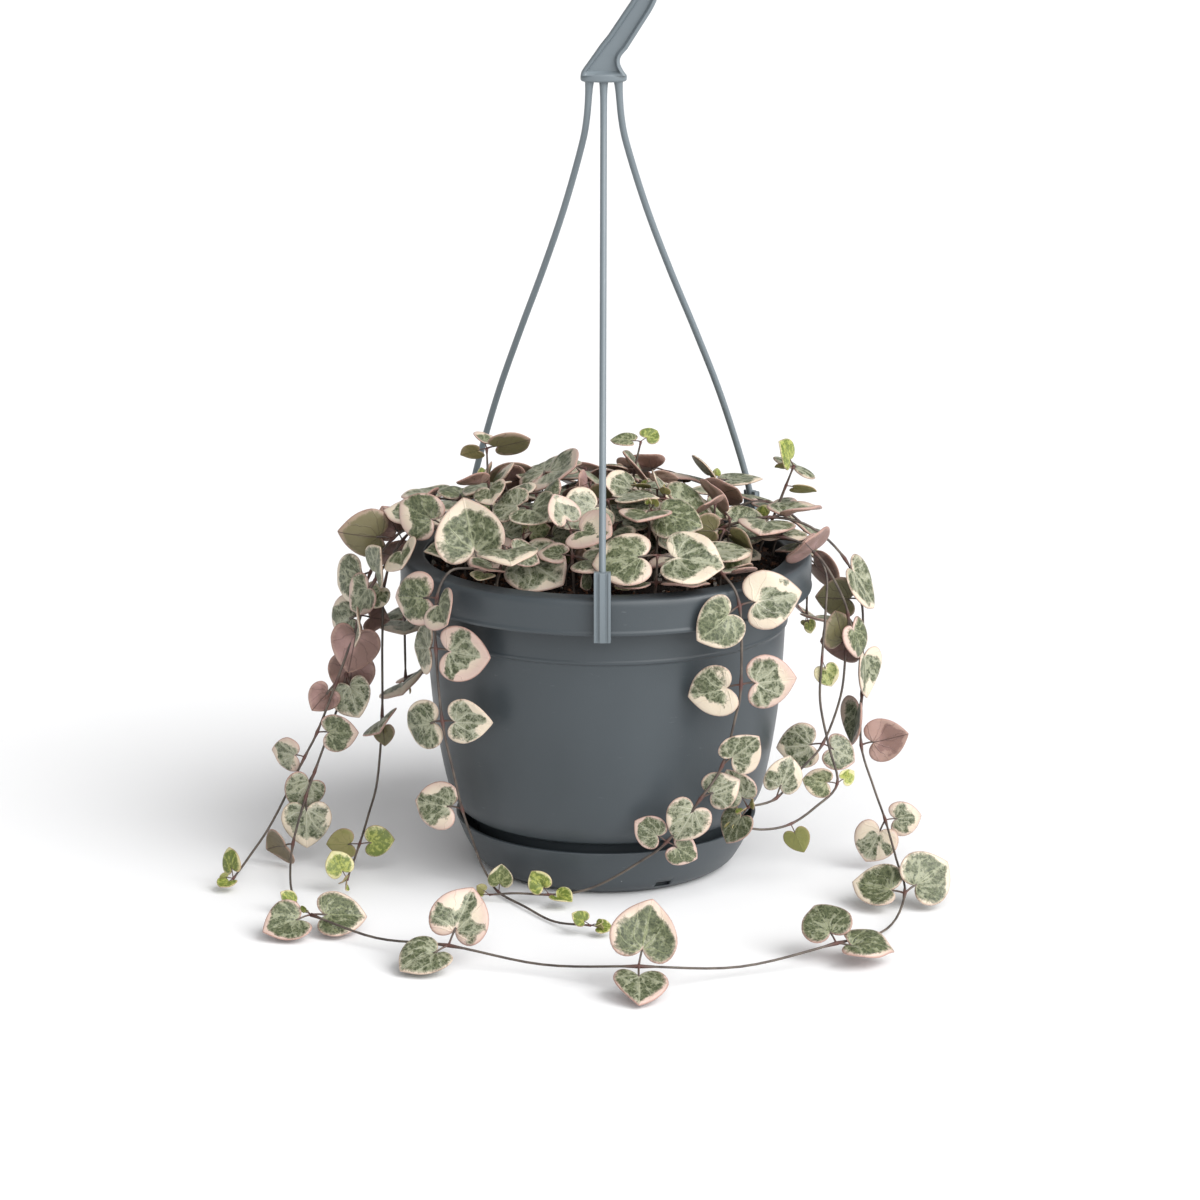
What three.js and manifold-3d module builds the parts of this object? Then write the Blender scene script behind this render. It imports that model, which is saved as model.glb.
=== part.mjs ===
// String of hearts (a variegated Ceropegia woodii) growing in a plastic hanging pot.
// Millimetres, +Z up. The origin is the centre of the saucer's base, and -Y is the front.
// The pot stands on its saucer, the hanger stands up over it, and the longest stems trail
// over the rim and lie on the surface that the saucer stands on.
import * as THREE from 'three';
import { mergeVertices } from 'three/addons/utils/BufferGeometryUtils.js';
import Module from 'manifold-3d';

const wasm = await Module();
wasm.setup();

// Driving dimensions
const RIM_RADIUS = 70;
const RIM_TOP = 108.8;
const RIM_BOTTOM = 96.8;
const POT_WALL = 1.4;
const POT_FOOT = 2.3;
const SAUCER_TOP = 17.2;
const SAUCER_FLOOR = 2;
const SOIL_EDGE = 104.5;
const SOIL_MIDDLE = 107;
const FIT_GAP = 0.3;
const HANGER_BASE = 267.4;
const STRAND_RADIUS = 1.15;
const CLIP_ANGLES = [-91, 44, 132];
const STEM_RADIUS = 0.8;
const BLADE_THICKNESS = 1;
const ROUND_SIDES = 30;

const FULL_TURN = Math.PI * 2;
const radians = THREE.MathUtils.degToRad;

// ---------------------------------------------------------------- solids and meshes

// A closed geometry as a solid, with shared corners and without the slivers that collapse.
function asSolid(geometry) {
  geometry.deleteAttribute('normal');
  geometry.deleteAttribute('uv');
  const shared = mergeVertices(geometry, 1e-4);
  const corners = shared.index.array;
  const kept = [];
  for (let start = 0; start < corners.length; start += 3) {
    const [a, b, c] = corners.slice(start, start + 3);
    if (a !== b && b !== c && c !== a) kept.push(a, b, c);
  }
  return new wasm.Manifold(new wasm.Mesh({
    numProp: 3,
    vertProperties: Float32Array.from(shared.attributes.position.array),
    triVerts: Uint32Array.from(kept),
  }));
}

function joinAll(solids) {
  return solids.reduce((whole, piece) => whole.add(piece));
}

// The outer skin of a join, without the small hollows that a blade and its stem may close off.
function outerSkin(solid) {
  return solid.decompose().reduce((largest, piece) => (
    piece.volume() > largest.volume() ? piece : largest
  ));
}

function asMesh(name, solid, material) {
  const { vertProperties, triVerts } = solid.getMesh();
  const geometry = new THREE.BufferGeometry();
  geometry.setAttribute('position', new THREE.BufferAttribute(vertProperties, 3));
  geometry.setIndex(new THREE.BufferAttribute(triVerts, 1));
  geometry.computeVertexNormals();
  const mesh = new THREE.Mesh(geometry, material);
  mesh.name = name;
  return mesh;
}

// A solid of revolution about Z from a profile of [radius, height] pairs.
function turned(profile, sides) {
  const points = profile.map(([radius, height]) => new THREE.Vector2(radius, height));
  return asSolid(new THREE.LatheGeometry(points, sides).rotateX(Math.PI / 2));
}

// A flat outline of [x, z] pairs, extruded along Y and centred on y = 0.
function upright(outline, depth) {
  const shape = new THREE.Shape(outline.map(([x, z]) => new THREE.Vector2(x, z)));
  const geometry = new THREE.ExtrudeGeometry(shape, { depth, bevelEnabled: false });
  return asSolid(geometry.rotateX(Math.PI / 2).translate(0, depth / 2, 0));
}

function block(width, depth, height, x, y, z) {
  return asSolid(new THREE.BoxGeometry(width, depth, height).translate(x, y, z));
}

// A smooth route whose steps fall on its own points, so what is fixed to a point meets the tube.
class Route extends THREE.CatmullRomCurve3 {
  constructor(points) {
    super(points.map((point) => new THREE.Vector3(...point)), false, 'catmullrom', 0.5);
  }

  getUtoTmapping(share) {
    return share;
  }
}

function tube(route, radius, sides, steps) {
  const section = new THREE.Shape();
  for (let side = 0; side < sides; side += 1) {
    const angle = (side + 0.5) * FULL_TURN / sides;
    section[side ? 'lineTo' : 'moveTo'](radius * Math.cos(angle), radius * Math.sin(angle));
  }
  return asSolid(new THREE.ExtrudeGeometry(section, { steps, extrudePath: route, bevelEnabled: false }));
}

// ---------------------------------------------------------------- pot, saucer and soil

const wallOutside = [[50.7, 20.6], [53.7, 25], [55.7, 33], [59.4, 56], [61.3, 84.6], [61.9, 85.4]];
const wallInside = [[49.2, 22], [54.1, 33.4], [57.9, 56.2], [61, 97]];

function makePot() {
  const inner = POT_FOOT + POT_WALL;
  const profile = [
    [0, POT_FOOT], [41.4, POT_FOOT], [46.4, 18.6],
    ...wallOutside,
    [62.7, 106.8], [68.5, 106.8], [68.6, RIM_BOTTOM], [RIM_RADIUS, RIM_BOTTOM],
    [RIM_RADIUS, 107.6], [69.2, RIM_TOP], [61.4, RIM_TOP],
    ...wallInside.toReversed(),
    [45.1, 20], [40.6, inner], [0, inner],
  ];
  const holes = 4;
  let pot = turned(profile, ROUND_SIDES);
  for (let hole = 0; hole < holes; hole += 1) {
    const angle = hole * FULL_TURN / holes;
    const drill = new THREE.CylinderGeometry(3.5, 3.5, 6, 6).rotateX(Math.PI / 2);
    pot = pot.subtract(asSolid(drill.translate(30 * Math.cos(angle), 30 * Math.sin(angle), POT_FOOT)));
  }
  return pot;
}

function makeSaucer() {
  const profile = [
    [0, 0], [40.7, 0], [44.8, 2.5], [48.8, 9.2], [51.9, SAUCER_TOP],
    [50.5, SAUCER_TOP], [47.4, 9.6], [42.2, SAUCER_FLOOR],
    [0, SAUCER_FLOOR],
  ];
  const slot = block(4, 5.6, 1.8, 44.6, 0, 3.2).rotate([0, 0, -65]);
  return turned(profile, ROUND_SIDES).subtract(slot);
}

const soilHeight = (radius) => SOIL_MIDDLE + (SOIL_EDGE - SOIL_MIDDLE) * (radius / 60) ** 2;

function makeSoil(roots) {
  const base = POT_FOOT + POT_WALL + FIT_GAP;
  const profile = [
    [0, base], [40.2, base], [44.6, 20.6], [48.7, 22.2], [57.4, 56.2],
    [60.6, soilHeight(60.6)], [36, soilHeight(36)], [0, SOIL_MIDDLE],
  ];
  const holeRadius = 1.6;
  const depth = 9;
  return roots.reduce((soil, [x, y]) => {
    const drill = new THREE.CylinderGeometry(holeRadius, holeRadius, depth * 2, 4).rotateX(Math.PI / 2);
    return soil.subtract(asSolid(drill.translate(x, y, soilHeight(Math.hypot(x, y)))));
  }, turned(profile, ROUND_SIDES));
}

// ---------------------------------------------------------------- hanger

// How far out, as a share of the whole way, a strand is at each height.
const strandSweep = [
  [HANGER_BASE + 1, 0], [255, 0.024], [244.5, 0.072], [223.6, 0.208], [202, 0.375],
  [180, 0.56], [157, 0.744], [134, 0.9], [119, 0.985],
];
const strandTops = [[-0.8, 0], [4, 0], [-5.4, 0]];
const CLIP_FACE = 72.4;
const CLIP_WIDTH = 5.4;
const CLIP_TOP = 118.6;

function strandRoute(index) {
  const angle = radians(CLIP_ANGLES[index]);
  const [topX, topY] = strandTops[index];
  const reach = CLIP_FACE - 1;
  const footX = reach * Math.cos(angle);
  const footY = reach * Math.sin(angle);
  const points = strandSweep.map(([z, share]) => [
    topX + (footX - topX) * share, topY + (footY - topY) * share, z,
  ]);
  points.push([footX, footY, CLIP_TOP - 6]);
  return new Route(points);
}

// The clip's side view as [radius, height]: a plate outside the rim with a tongue over the rim
// and a barbed foot under it.
function makeClip(angle) {
  const inside = RIM_RADIUS + 0.4;
  const side = [
    [CLIP_FACE, RIM_BOTTOM - 1.5], [CLIP_FACE, CLIP_TOP], [inside, CLIP_TOP],
    [inside, RIM_TOP + 1.9], [66, RIM_TOP + 1.6], [66, RIM_TOP + 0.4], [inside, RIM_TOP + 0.4],
    [inside, RIM_BOTTOM - FIT_GAP], [68.1, RIM_BOTTOM - FIT_GAP], [68.1, RIM_BOTTOM + 1.8],
    [67.2, RIM_BOTTOM + 1.8], [67.2, RIM_BOTTOM - 1.5],
  ];
  const height = CLIP_TOP - RIM_BOTTOM + 1.5;
  const middle = RIM_BOTTOM - 1.5 + height / 2;
  const edge = CLIP_WIDTH / 2 - 0.4;
  const plate = upright(side, CLIP_WIDTH);
  const rib = block(1.2, 1.8, height, CLIP_FACE + 0.2, 0, middle);
  const ridges = [-edge, edge].map((y) => block(0.8, 0.8, height, CLIP_FACE + 0.05, y, middle));
  return joinAll([plate, rib, ...ridges]).rotate([0, 0, angle]);
}

// The hook's centre line: a leaning shank that bends round over the pot's axis.
const HOOK_CENTRE = [0.4, 301];
const HOOK_BEND = 14;
const hookLine = [[-0.6, 273.8], [3.8, 280.5], [8.2, 287.2]];
for (let turn = -30; turn <= 200; turn += 23) {
  const angle = radians(turn);
  hookLine.push([
    HOOK_CENTRE[0] + HOOK_BEND * Math.cos(angle), HOOK_CENTRE[1] + HOOK_BEND * Math.sin(angle),
  ]);
}

// An outline that follows the hook's line at its half width, between two of its points.
function hookBand(shrink, first, last) {
  const halfWidth = (index) => 3.9 - 1.3 * index / hookLine.length - shrink;
  const left = [];
  const right = [];
  for (let index = first; index <= last; index += 1) {
    const [x, z] = hookLine[index];
    const before = hookLine[Math.max(index - 1, 0)];
    const after = hookLine[Math.min(index + 1, hookLine.length - 1)];
    const run = new THREE.Vector2(after[0] - before[0], after[1] - before[1]).normalize();
    left.push([x - run.y * halfWidth(index), z + run.x * halfWidth(index)]);
    right.push([x + run.y * halfWidth(index), z - run.x * halfWidth(index)]);
  }
  return [...right, ...left.toReversed()];
}

// The shank flares out to the base plate. The outline of the flare and of the pocket in it.
const hookFoot = [[-8, 270], [6.4, 270], [4.7, 272.6], [4.6, 274.8], [6.9, 278.5], [0.7, 282.5]];
const footPocket = [[-5.6, 271.2], [4, 271.2], [3.2, 272.6], [3.2, 275.2], [5.8, 279], [1.9, 281.7]];

function makeHanger() {
  const depth = 5.4;
  const pocket = 1.7;
  const plateHeight = 2.9;
  const last = hookLine.length - 1;
  const hook = joinAll([hookBand(0, 1, last), hookFoot].map((side) => upright(side, depth)));
  const cuts = [hookBand(1.4, 1, last - 1), footPocket].flatMap((side) => (
    [-depth / 2, depth / 2].map((y) => upright(side, pocket * 2).translate([0, y, 0]))
  ));
  const plate = new THREE.CylinderGeometry(3, 3, plateHeight, 12).rotateX(Math.PI / 2).scale(2.55, 1, 1);
  const pieces = [
    cuts.reduce((body, cut) => body.subtract(cut), hook),
    asSolid(plate.translate(-0.8, 0, HANGER_BASE + plateHeight / 2)),
    ...CLIP_ANGLES.map(makeClip),
    ...CLIP_ANGLES.map((angle, index) => tube(strandRoute(index), STRAND_RADIUS, 6, 12)),
  ];
  return joinAll(pieces);
}

// ---------------------------------------------------------------- seeded draws

function seededDraws(seed) {
  let state = seed;
  return (low, high) => {
    state = (state * 16807) % 2147483647;
    return low + (high - low) * state / 2147483647;
  };
}

// ---------------------------------------------------------------- leaves

// Half of the heart, from the notch to the tip, as shares of the blade's length.
const halfHeart = [[0.3, -0.17], [0.61, 0.13], [0.42, 0.62]];
const NOTCH = [0.05, 0.03];
const TIP = [0, 1];
const STALK_SHARE = 0.18;
const STALK_SPARE = 1.6;

// A blade stands at a point of its stem. It faces the way that turn (degrees from the front
// towards +X) and tilt (degrees up) say, and its tip points the way that clock says to
// someone who looks at the blade: 0 is up and 90 is to their right.
function makeLeaf(at, length, clock, turn, tilt, fold) {
  const side = new THREE.Vector3(Math.cos(radians(turn)), Math.sin(radians(turn)), 0);
  const face = new THREE.Vector3(
    Math.cos(radians(tilt)) * Math.sin(radians(turn)),
    -Math.cos(radians(tilt)) * Math.cos(radians(turn)),
    Math.sin(radians(tilt)),
  );
  const up = face.clone().cross(side);
  const along = side.clone().multiplyScalar(Math.sin(radians(clock)));
  along.addScaledVector(up, Math.cos(radians(clock)));
  const across = along.clone().cross(face);
  const stalk = STALK_SPARE + STALK_SHARE * length;
  return { at: new THREE.Vector3(...at), length, fold, along, across, face, stalk };
}

// A point of a leaf from its place on the heart, and from how far it is off the middle surface.
function onLeaf(leaf, [across, along], lift = 0) {
  const point = leaf.at.clone();
  point.addScaledVector(leaf.along, leaf.stalk + along * leaf.length);
  point.addScaledVector(leaf.across, across * leaf.length);
  point.addScaledVector(leaf.face, Math.abs(across) * leaf.fold * leaf.length + lift);
  return point;
}

const mirrored = ([across, along]) => [-across, along];

// One closed blade with its stalk: two faces split alike, and a wall round the edge. The stalk
// comes to a point inside the stem.
function leafSolid(leaf) {
  const root = [0, -(leaf.stalk + STEM_RADIUS * 0.4) / leaf.length];
  const outline = [
    root, NOTCH, ...halfHeart, TIP, ...halfHeart.toReversed().map(mirrored), mirrored(NOTCH),
  ];
  const tip = outline.indexOf(TIP);
  const count = outline.length;
  const places = [];
  for (const lift of [BLADE_THICKNESS / 2, -BLADE_THICKNESS / 2]) {
    for (const place of outline) {
      places.push(...onLeaf(leaf, place, place === root ? 0 : lift).toArray());
    }
  }
  const triangles = [];
  for (let corner = 0; corner < count; corner += 1) {
    const next = (corner + 1) % count;
    triangles.push(corner, corner + count, next, next, corner + count, next + count);
    if (corner === tip || next === tip) continue;
    triangles.push(tip, corner, next, tip + count, next + count, corner + count);
  }
  const geometry = new THREE.BufferGeometry();
  geometry.setAttribute('position', new THREE.Float32BufferAttribute(places, 3));
  geometry.setIndex(triangles);
  return asSolid(geometry);
}

// ---------------------------------------------------------------- what a leaf must clear

// A body for the clearance test: the corners of a convex shape, the directions that it lies
// along, and the thickness round it.
function convexBody(corners, directions, thickness) {
  const centre = corners.reduce((sum, corner) => sum.add(corner), new THREE.Vector3());
  centre.divideScalar(corners.length);
  const reach = Math.max(...corners.map((corner) => corner.distanceTo(centre))) + thickness;
  return { corners, directions, thickness, centre, reach };
}

function bladeBody(leaf) {
  const corners = [TIP, ...halfHeart, ...halfHeart.map(mirrored)].map((place) => onLeaf(leaf, place));
  const diagonals = [1, -1].map((sign) => (
    leaf.along.clone().addScaledVector(leaf.across, sign).normalize()
  ));
  const directions = [leaf.along, leaf.across, leaf.face, ...diagonals];
  return convexBody(corners, directions, BLADE_THICKNESS / 2);
}

function rodBody(from, to, thickness) {
  return convexBody([from, to], [to.clone().sub(from).normalize()], thickness);
}

function span(corners, axis) {
  const heights = corners.map((corner) => corner.dot(axis));
  return [Math.min(...heights), Math.max(...heights)];
}

// Two convex bodies are clear where some axis shows a wide enough gap between them.
function areClear(one, other, gap) {
  const needed = one.thickness + other.thickness + gap;
  if (one.centre.distanceTo(other.centre) > one.reach + other.reach + gap) return true;
  const axes = [...one.directions, ...other.directions];
  axes.push(other.centre.clone().sub(one.centre).normalize());
  for (const first of one.directions) {
    for (const second of other.directions) {
      const axis = first.clone().cross(second);
      if (axis.length() > 0.05) axes.push(axis.normalize());
    }
  }
  return axes.some((axis) => {
    const [lowOne, highOne] = span(one.corners, axis);
    const [lowOther, highOther] = span(other.corners, axis);
    return Math.max(lowOne - highOther, lowOther - highOne) >= needed;
  });
}

// How far out the pot or the saucer reaches at a height below the rim.
const outerWall = [[0, 52.4], [21, 52.4], ...wallOutside.map(([radius, height]) => [height, radius])];

function wallRadius(height) {
  for (let step = 1; step < outerWall.length; step += 1) {
    const [top, outer] = outerWall[step];
    const [bottom, inner] = outerWall[step - 1];
    if (height <= top) return inner + (outer - inner) * (height - bottom) / Math.max(top - bottom, 0.1);
  }
  return outerWall.at(-1)[1];
}

function clearsPot(point, gap) {
  const radius = Math.hypot(point.x, point.y);
  if (point.z < gap) return false;
  if (point.z < RIM_BOTTOM - gap) return radius > wallRadius(point.z) + gap;
  if (radius < 60.5 - gap) return point.z > soilHeight(radius) + gap;
  return radius > RIM_RADIUS + gap || point.z > RIM_TOP + gap;
}

function bladeClearsPot(leaf, gap) {
  const heart = [TIP, ...halfHeart, ...halfHeart.map(mirrored), NOTCH];
  return heart.every(([across, along]) => [0.35, 0.7, 1].every((share) => (
    clearsPot(onLeaf(leaf, [across * share, 0.4 + (along - 0.4) * share]), gap)
  )));
}

// ---------------------------------------------------------------- stems

const ROOT_DEPTH = 7;
const LEAF_GAP = 0.35;
const POT_GAP = 1.6;
const STALK_REACH = 0.5;
const STRAY_STEP = 4;
const SHRINK_STEP = 0.01;
const plant = [];
const bodies = [];

function hangerBodies() {
  for (let index = 0; index < CLIP_ANGLES.length; index += 1) {
    const points = strandRoute(index).getPoints(18);
    for (let step = 1; step < points.length; step += 1) {
      bodies.push(rodBody(points[step - 1], points[step], STRAND_RADIUS));
    }
    const angle = radians(CLIP_ANGLES[index]);
    const outer = new THREE.Vector3(Math.cos(angle), Math.sin(angle), 0).multiplyScalar(CLIP_FACE - 1);
    const foot = outer.clone().setZ(RIM_BOTTOM - 1.5);
    bodies.push(rodBody(foot, outer.clone().setZ(CLIP_TOP), CLIP_WIDTH / 2 + 0.8));
  }
}

// A stem rises from its hole in the soil and runs through the points of its route.
function makeStem(name, root, points, stepsPerSpan) {
  const [x, y] = root;
  const ground = soilHeight(Math.hypot(x, y));
  const lean = 0.12;
  const start = [
    [x, y, ground - ROOT_DEPTH], [x, y, ground - 1],
    [x + (points[0][0] - x) * lean, y + (points[0][1] - y) * lean, ground + 4],
  ];
  const route = new Route([...start, ...points]);
  const steps = (route.points.length - 1) * stepsPerSpan;
  const line = route.getPoints(steps);
  const rods = line.slice(1).map((to, index) => rodBody(line[index], to, STEM_RADIUS));
  return { name, root, points, route, steps, rods, leaves: [] };
}

function keepStem(stem) {
  plant.push(stem);
  bodies.push(...stem.rods);
}

// The half of a stalk next to its blade. The other half meets the stem.
function stalkBody(leaf) {
  return rodBody(onLeaf(leaf, [0, -0.5 * leaf.stalk / leaf.length]), onLeaf(leaf, NOTCH), STALK_REACH);
}

function leafIsClear(leaf, stem) {
  if (!bladeClearsPot(leaf, POT_GAP)) return false;
  const blade = bladeBody(leaf);
  const stalk = stalkBody(leaf);
  return bodies.every((body) => (
    stem.rods.includes(body) || (areClear(blade, body, LEAF_GAP) && areClear(stalk, body, LEAF_GAP))
  ));
}

// A leaf is grown as it is asked for, or turned a little further at each attempt until it is
// clear of everything that is there. It is left out if no attempt is clear.
function growLeaf(stem, at, length, clock, turn, tilt, draw, attempts) {
  for (let attempt = 0; attempt < attempts; attempt += 1) {
    const stray = attempt * STRAY_STEP;
    const leaf = makeLeaf(
      at, length * (1 - attempt * SHRINK_STEP), clock + draw(-stray, stray),
      turn + draw(-stray, stray), tilt + draw(-stray, stray) / 2, draw(0.02, 0.22),
    );
    if (!leafIsClear(leaf, stem)) continue;
    bodies.push(bladeBody(leaf), stalkBody(leaf));
    stem.leaves.push(leaf);
    return;
  }
}

// Two opposite leaves that face up and away from the pot's axis.
function growPair(stem, at, length, draw, attempts) {
  const outward = THREE.MathUtils.radToDeg(Math.atan2(at[0], -at[1]));
  const quarter = draw(50, 115);
  for (const hand of [1, -1]) {
    const turn = outward + draw(-40, 40);
    growLeaf(
      stem, at, length * draw(0.9, 1.1), 180 - hand * quarter, turn, draw(38, 96), draw, attempts,
    );
  }
}

// ---------------------------------------------------------------- trailing stems

// Each has its root on the soil, and its route over the mound, over the rim and down. Pairs of
// leaves stand on the first points of the route. The other leaves are stated one by one, as
// [point of the route, length, clock, turn, tilt].
const trailing = [
  {
    name: 'vine_front_left',
    root: [-18, -31],
    pairs: 1,
    points: [
      [-31, -37, 117], [-42, -42, 113], [-51, -45, 112.5], [-55.5, -48, 104], [-56, -48.5, 87],
      [-54, -51, 63], [-50.5, -50, 45], [-48, -45.5, 31], [-45, -35.5, 17], [-43, -33.5, 10],
      [-40, -35, 4], [-36, -44, 1.2], [-27, -58, 1], [-17, -73, 1], [-5, -84, 3.5],
    ],
    leaves: [
      [1, 19, 345, -8, 18], [3, 15, 262, -40, 8], [3, 14, 95, -35, 45], [4, 14, 258, -66, 5],
      [4, 16.5, 99, 5, 0], [5, 14, 252, -40, 0], [5, 14.5, 108, 5, 0], [7, 13, 275, -15, 10],
      [11, 7, 5, -5, 5], [14, 5, 310, 10, 45], [14, 5, 100, 0, 60],
    ],
  },
  {
    name: 'vine_front_right',
    root: [20, -24],
    pairs: 1,
    points: [
      [30, -40, 117], [38, -54, 113.5], [43.3, -59.3, 104.5], [44, -60, 78], [42, -61, 66],
      [38, -62, 51], [31, -63, 40], [20, -62.5, 25], [11, -59.5, 17], [-1, -56, 8.5],
      [-10, -55, 5], [-19, -54, 3.8], [-30, -52, 3.6], [-39, -50, 2.4],
    ],
    leaves: [
      [2, 15.5, 250, -5, 10], [2, 17, 82, 8, 8], [3, 14, 255, -8, 0], [3, 14.5, 85, 8, 0],
      [5, 12, 50, 5, 0], [6, 13, 210, -5, 5], [6, 11, 60, 0, 10], [7, 9.5, 300, -10, 10],
      [7, 10, 120, 5, 5], [11, 7, 320, -10, 20], [11, 7, 130, 10, 65],
    ],
  },
  {
    name: 'vine_sweep',
    root: [26, -5],
    pairs: 2,
    points: [
      [40, -9, 119], [55, -12, 123], [69, -9, 119], [81, -5, 107], [87, -2, 92], [88, 0, 76],
      [88, 0, 58], [88, -1, 40], [92, -7, 27], [95.5, -17, 18], [98, -35, 10], [99, -59, 6],
      [91, -86, 3], [73, -111, 7], [42, -123, 3.5], [10, -135, 8], [-20, -121, 3.5],
      [-50, -113, 7], [-74, -96, 3.5], [-96, -82, 6.5],
    ],
    leaves: [
      [3, 17, 165, 60, 20], [4, 13, 60, 200, 10], [5, 15, 182, 62, 5], [5, 14, 110, 150, 5],
      [6, 15, 180, -60, 5], [7, 13, 285, 178, 0], [7, 12, 75, 225, 5], [9, 12.5, 203, -12, 8],
      [9, 11, 128, 40, 0], [11, 16, 75, 10, 30], [11, 15, 268, -5, 48], [13, 16, 135, 20, 58],
      [13, 15, 327, -15, 58], [13, 5, 40, 40, 0], [15, 17, 12, 0, 25], [15, 15, 195, 0, 62],
      [17, 16, 22, 0, 28], [17, 15, 225, 0, 62], [19, 14, 250, 0, 55], [19, 15, 108, 0, 58],
    ],
  },
  {
    name: 'vine_right',
    root: [30, -15],
    pairs: 1,
    points: [
      [45, -21, 117], [59, -24, 119], [70, -20, 112.5], [77, -17, 102], [82, -11, 89], [81.5, -10, 76],
      [80, -10, 60], [74, -13, 44], [66, -26, 39], [57, -40, 33], [47, -50, 33],
    ],
    leaves: [
      [4, 15, 165, 55, 10], [5, 14, 205, 200, 5], [5, 12, 20, 190, 10], [7, 13, 268, -15, 5],
      [7, 12.5, 165, 28, 0], [9, 11.5, 20, 15, 0], [10, 11, 330, -5, 5], [10, 12, 240, 0, 10],
    ],
  },
  {
    name: 'vine_loop',
    root: [36, 4],
    pairs: 1,
    points: [
      [50, -1, 113], [66, -6, 113], [74, -10, 104.5], [74, -17, 92], [72.5, -25, 77], [72, -27, 63],
      [75, -28.5, 48], [78, -30, 35], [70.5, -34, 28], [62, -38.5, 23.5], [53, -43, 23],
      [44, -47.5, 25.5],
    ],
    leaves: [
      [4, 7, 160, 0, 10], [7, 9, 285, -10, 5], [7, 5, 60, 20, 10], [9, 8, 205, 170, 5],
    ],
  },
  {
    name: 'vine_left_inner',
    root: [-27, 4],
    pairs: 1,
    points: [
      [-42, 2, 119], [-57, -1, 121], [-69, -3, 113], [-75, -2, 99], [-76.5, 0, 78], [-77, 0, 50],
      [-79, 0, 27], [-81.5, -10, 18], [-84, -22, 11], [-87, -42, 5],
    ],
    leaves: [
      [2, 12, 36, 240, 15], [3, 8, 204, -20, 5], [5, 12, 93, -90, 50], [5, 9, 186, 178, 0],
      [8, 9, 95, 165, 5], [8, 9, 85, 5, 5], [9, 8, 335, 10, 20], [9, 9, 240, 0, 72],
    ],
  },
  {
    name: 'vine_left_cluster',
    root: [-31, -8],
    pairs: 1,
    points: [
      [-45, -9, 118], [-60, -9, 121], [-72, -7, 114.5], [-80, -4, 102], [-84, -1, 86], [-86.5, 0, 74],
      [-89, 0, 65], [-92, -1, 54], [-100.1, -6.9, 32], [-103, -9, 24], [-107, -19, 10], [-106, -42, 3.5],
      [-102, -60, 1.2],
    ],
    leaves: [
      [2, 17, 87, 140, 5], [3, 14, 246, -50, 5], [4, 14, 249, -45, 5], [4, 13, 229, 208, 5],
      [5, 14, 174, 178, 5], [6, 13, 147, 10, 5], [8, 12, 198, -5, -6], [9, 14, 180, 5, 12],
      [10, 14, 120, 182, 0], [12, 6, 320, 40, 30],
    ],
  },
  {
    name: 'vine_left_outer',
    root: [-24, -26],
    pairs: 1,
    points: [
      [-38, -24, 119], [-54, -21, 122], [-68, -16, 114], [-78, -11, 101], [-84, -8, 86],
      [-92, -7, 64], [-99, -6, 46], [-103.5, -5.5, 37], [-115, -6, 14], [-122, -16, 5],
      [-126, -35, 3],
    ],
    leaves: [
      [3, 14, 16, -60, 0], [3, 13, 231, -58, 5], [4, 15, 168, 178, 5], [4, 12, 108, -78, 5],
      [5, 14, 141, 180, 5], [6, 13, 69, 5, 5], [7, 12, 222, -5, 5], [10, 8, 335, -45, 10],
      [10, 7, 200, -20, 60],
    ],
  },
];

// Shorter stems hang down the back, each by its angle round the pot and its lowest height.
const hanging = [
  { name: 'vine_back_1', angle: 20, root: 30, lowest: 58 },
  { name: 'vine_back_2', angle: 84, root: 34, lowest: 34 },
  { name: 'vine_back_3', angle: 157, root: 36, lowest: 52 },
];

function hangingRoute({ angle, root, lowest }, draw) {
  const at = (radius, height) => {
    const swing = radians(angle + draw(-3, 3));
    return [radius * Math.cos(swing), radius * Math.sin(swing), height];
  };
  const points = [at(root + 15, 120), at(root + 29, 121), at(72, 112.5), at(75, 100)];
  const drop = 22;
  for (let height = 78; height > lowest; height -= drop) points.push(at(draw(74, 77), height));
  return points;
}

function growTrailing() {
  const draw = seededDraws(1000);
  for (const vine of trailing) keepStem(makeStem(vine.name, vine.root, vine.points, 2));
  for (const vine of hanging) {
    const angle = radians(vine.angle);
    const root = [vine.root * Math.cos(angle), vine.root * Math.sin(angle)];
    keepStem(makeStem(vine.name, root, hangingRoute(vine, draw), 1));
  }
  trailing.forEach((vine, index) => {
    for (const [point, length, clock, turn, tilt] of vine.leaves) {
      growLeaf(plant[index], vine.points[point], length, clock, turn, tilt, draw, 16);
    }
  });
  trailing.forEach((vine, index) => {
    for (const at of vine.points.slice(0, vine.pairs)) growPair(plant[index], at, 16, draw, 14);
  });
  plant.slice(trailing.length).forEach((stem) => {
    for (const at of stem.points.slice(1)) growPair(stem, at, draw(12, 17), draw, 14);
  });
}

// ---------------------------------------------------------------- stems of the mound

// Short shoots fill the pot, spread by the golden angle. Each stands nearly upright and arches
// away from the middle, and their pairs of leaves make the layers of the mound.
const SHOOTS = 24;
const SHOOT_SPREAD = 56;
const GOLDEN_ANGLE = 137.5;
const LAYER_STEP = 9.5;

const moundHeight = (radius) => 137 - 18 * (radius / 70) ** 2;

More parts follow.
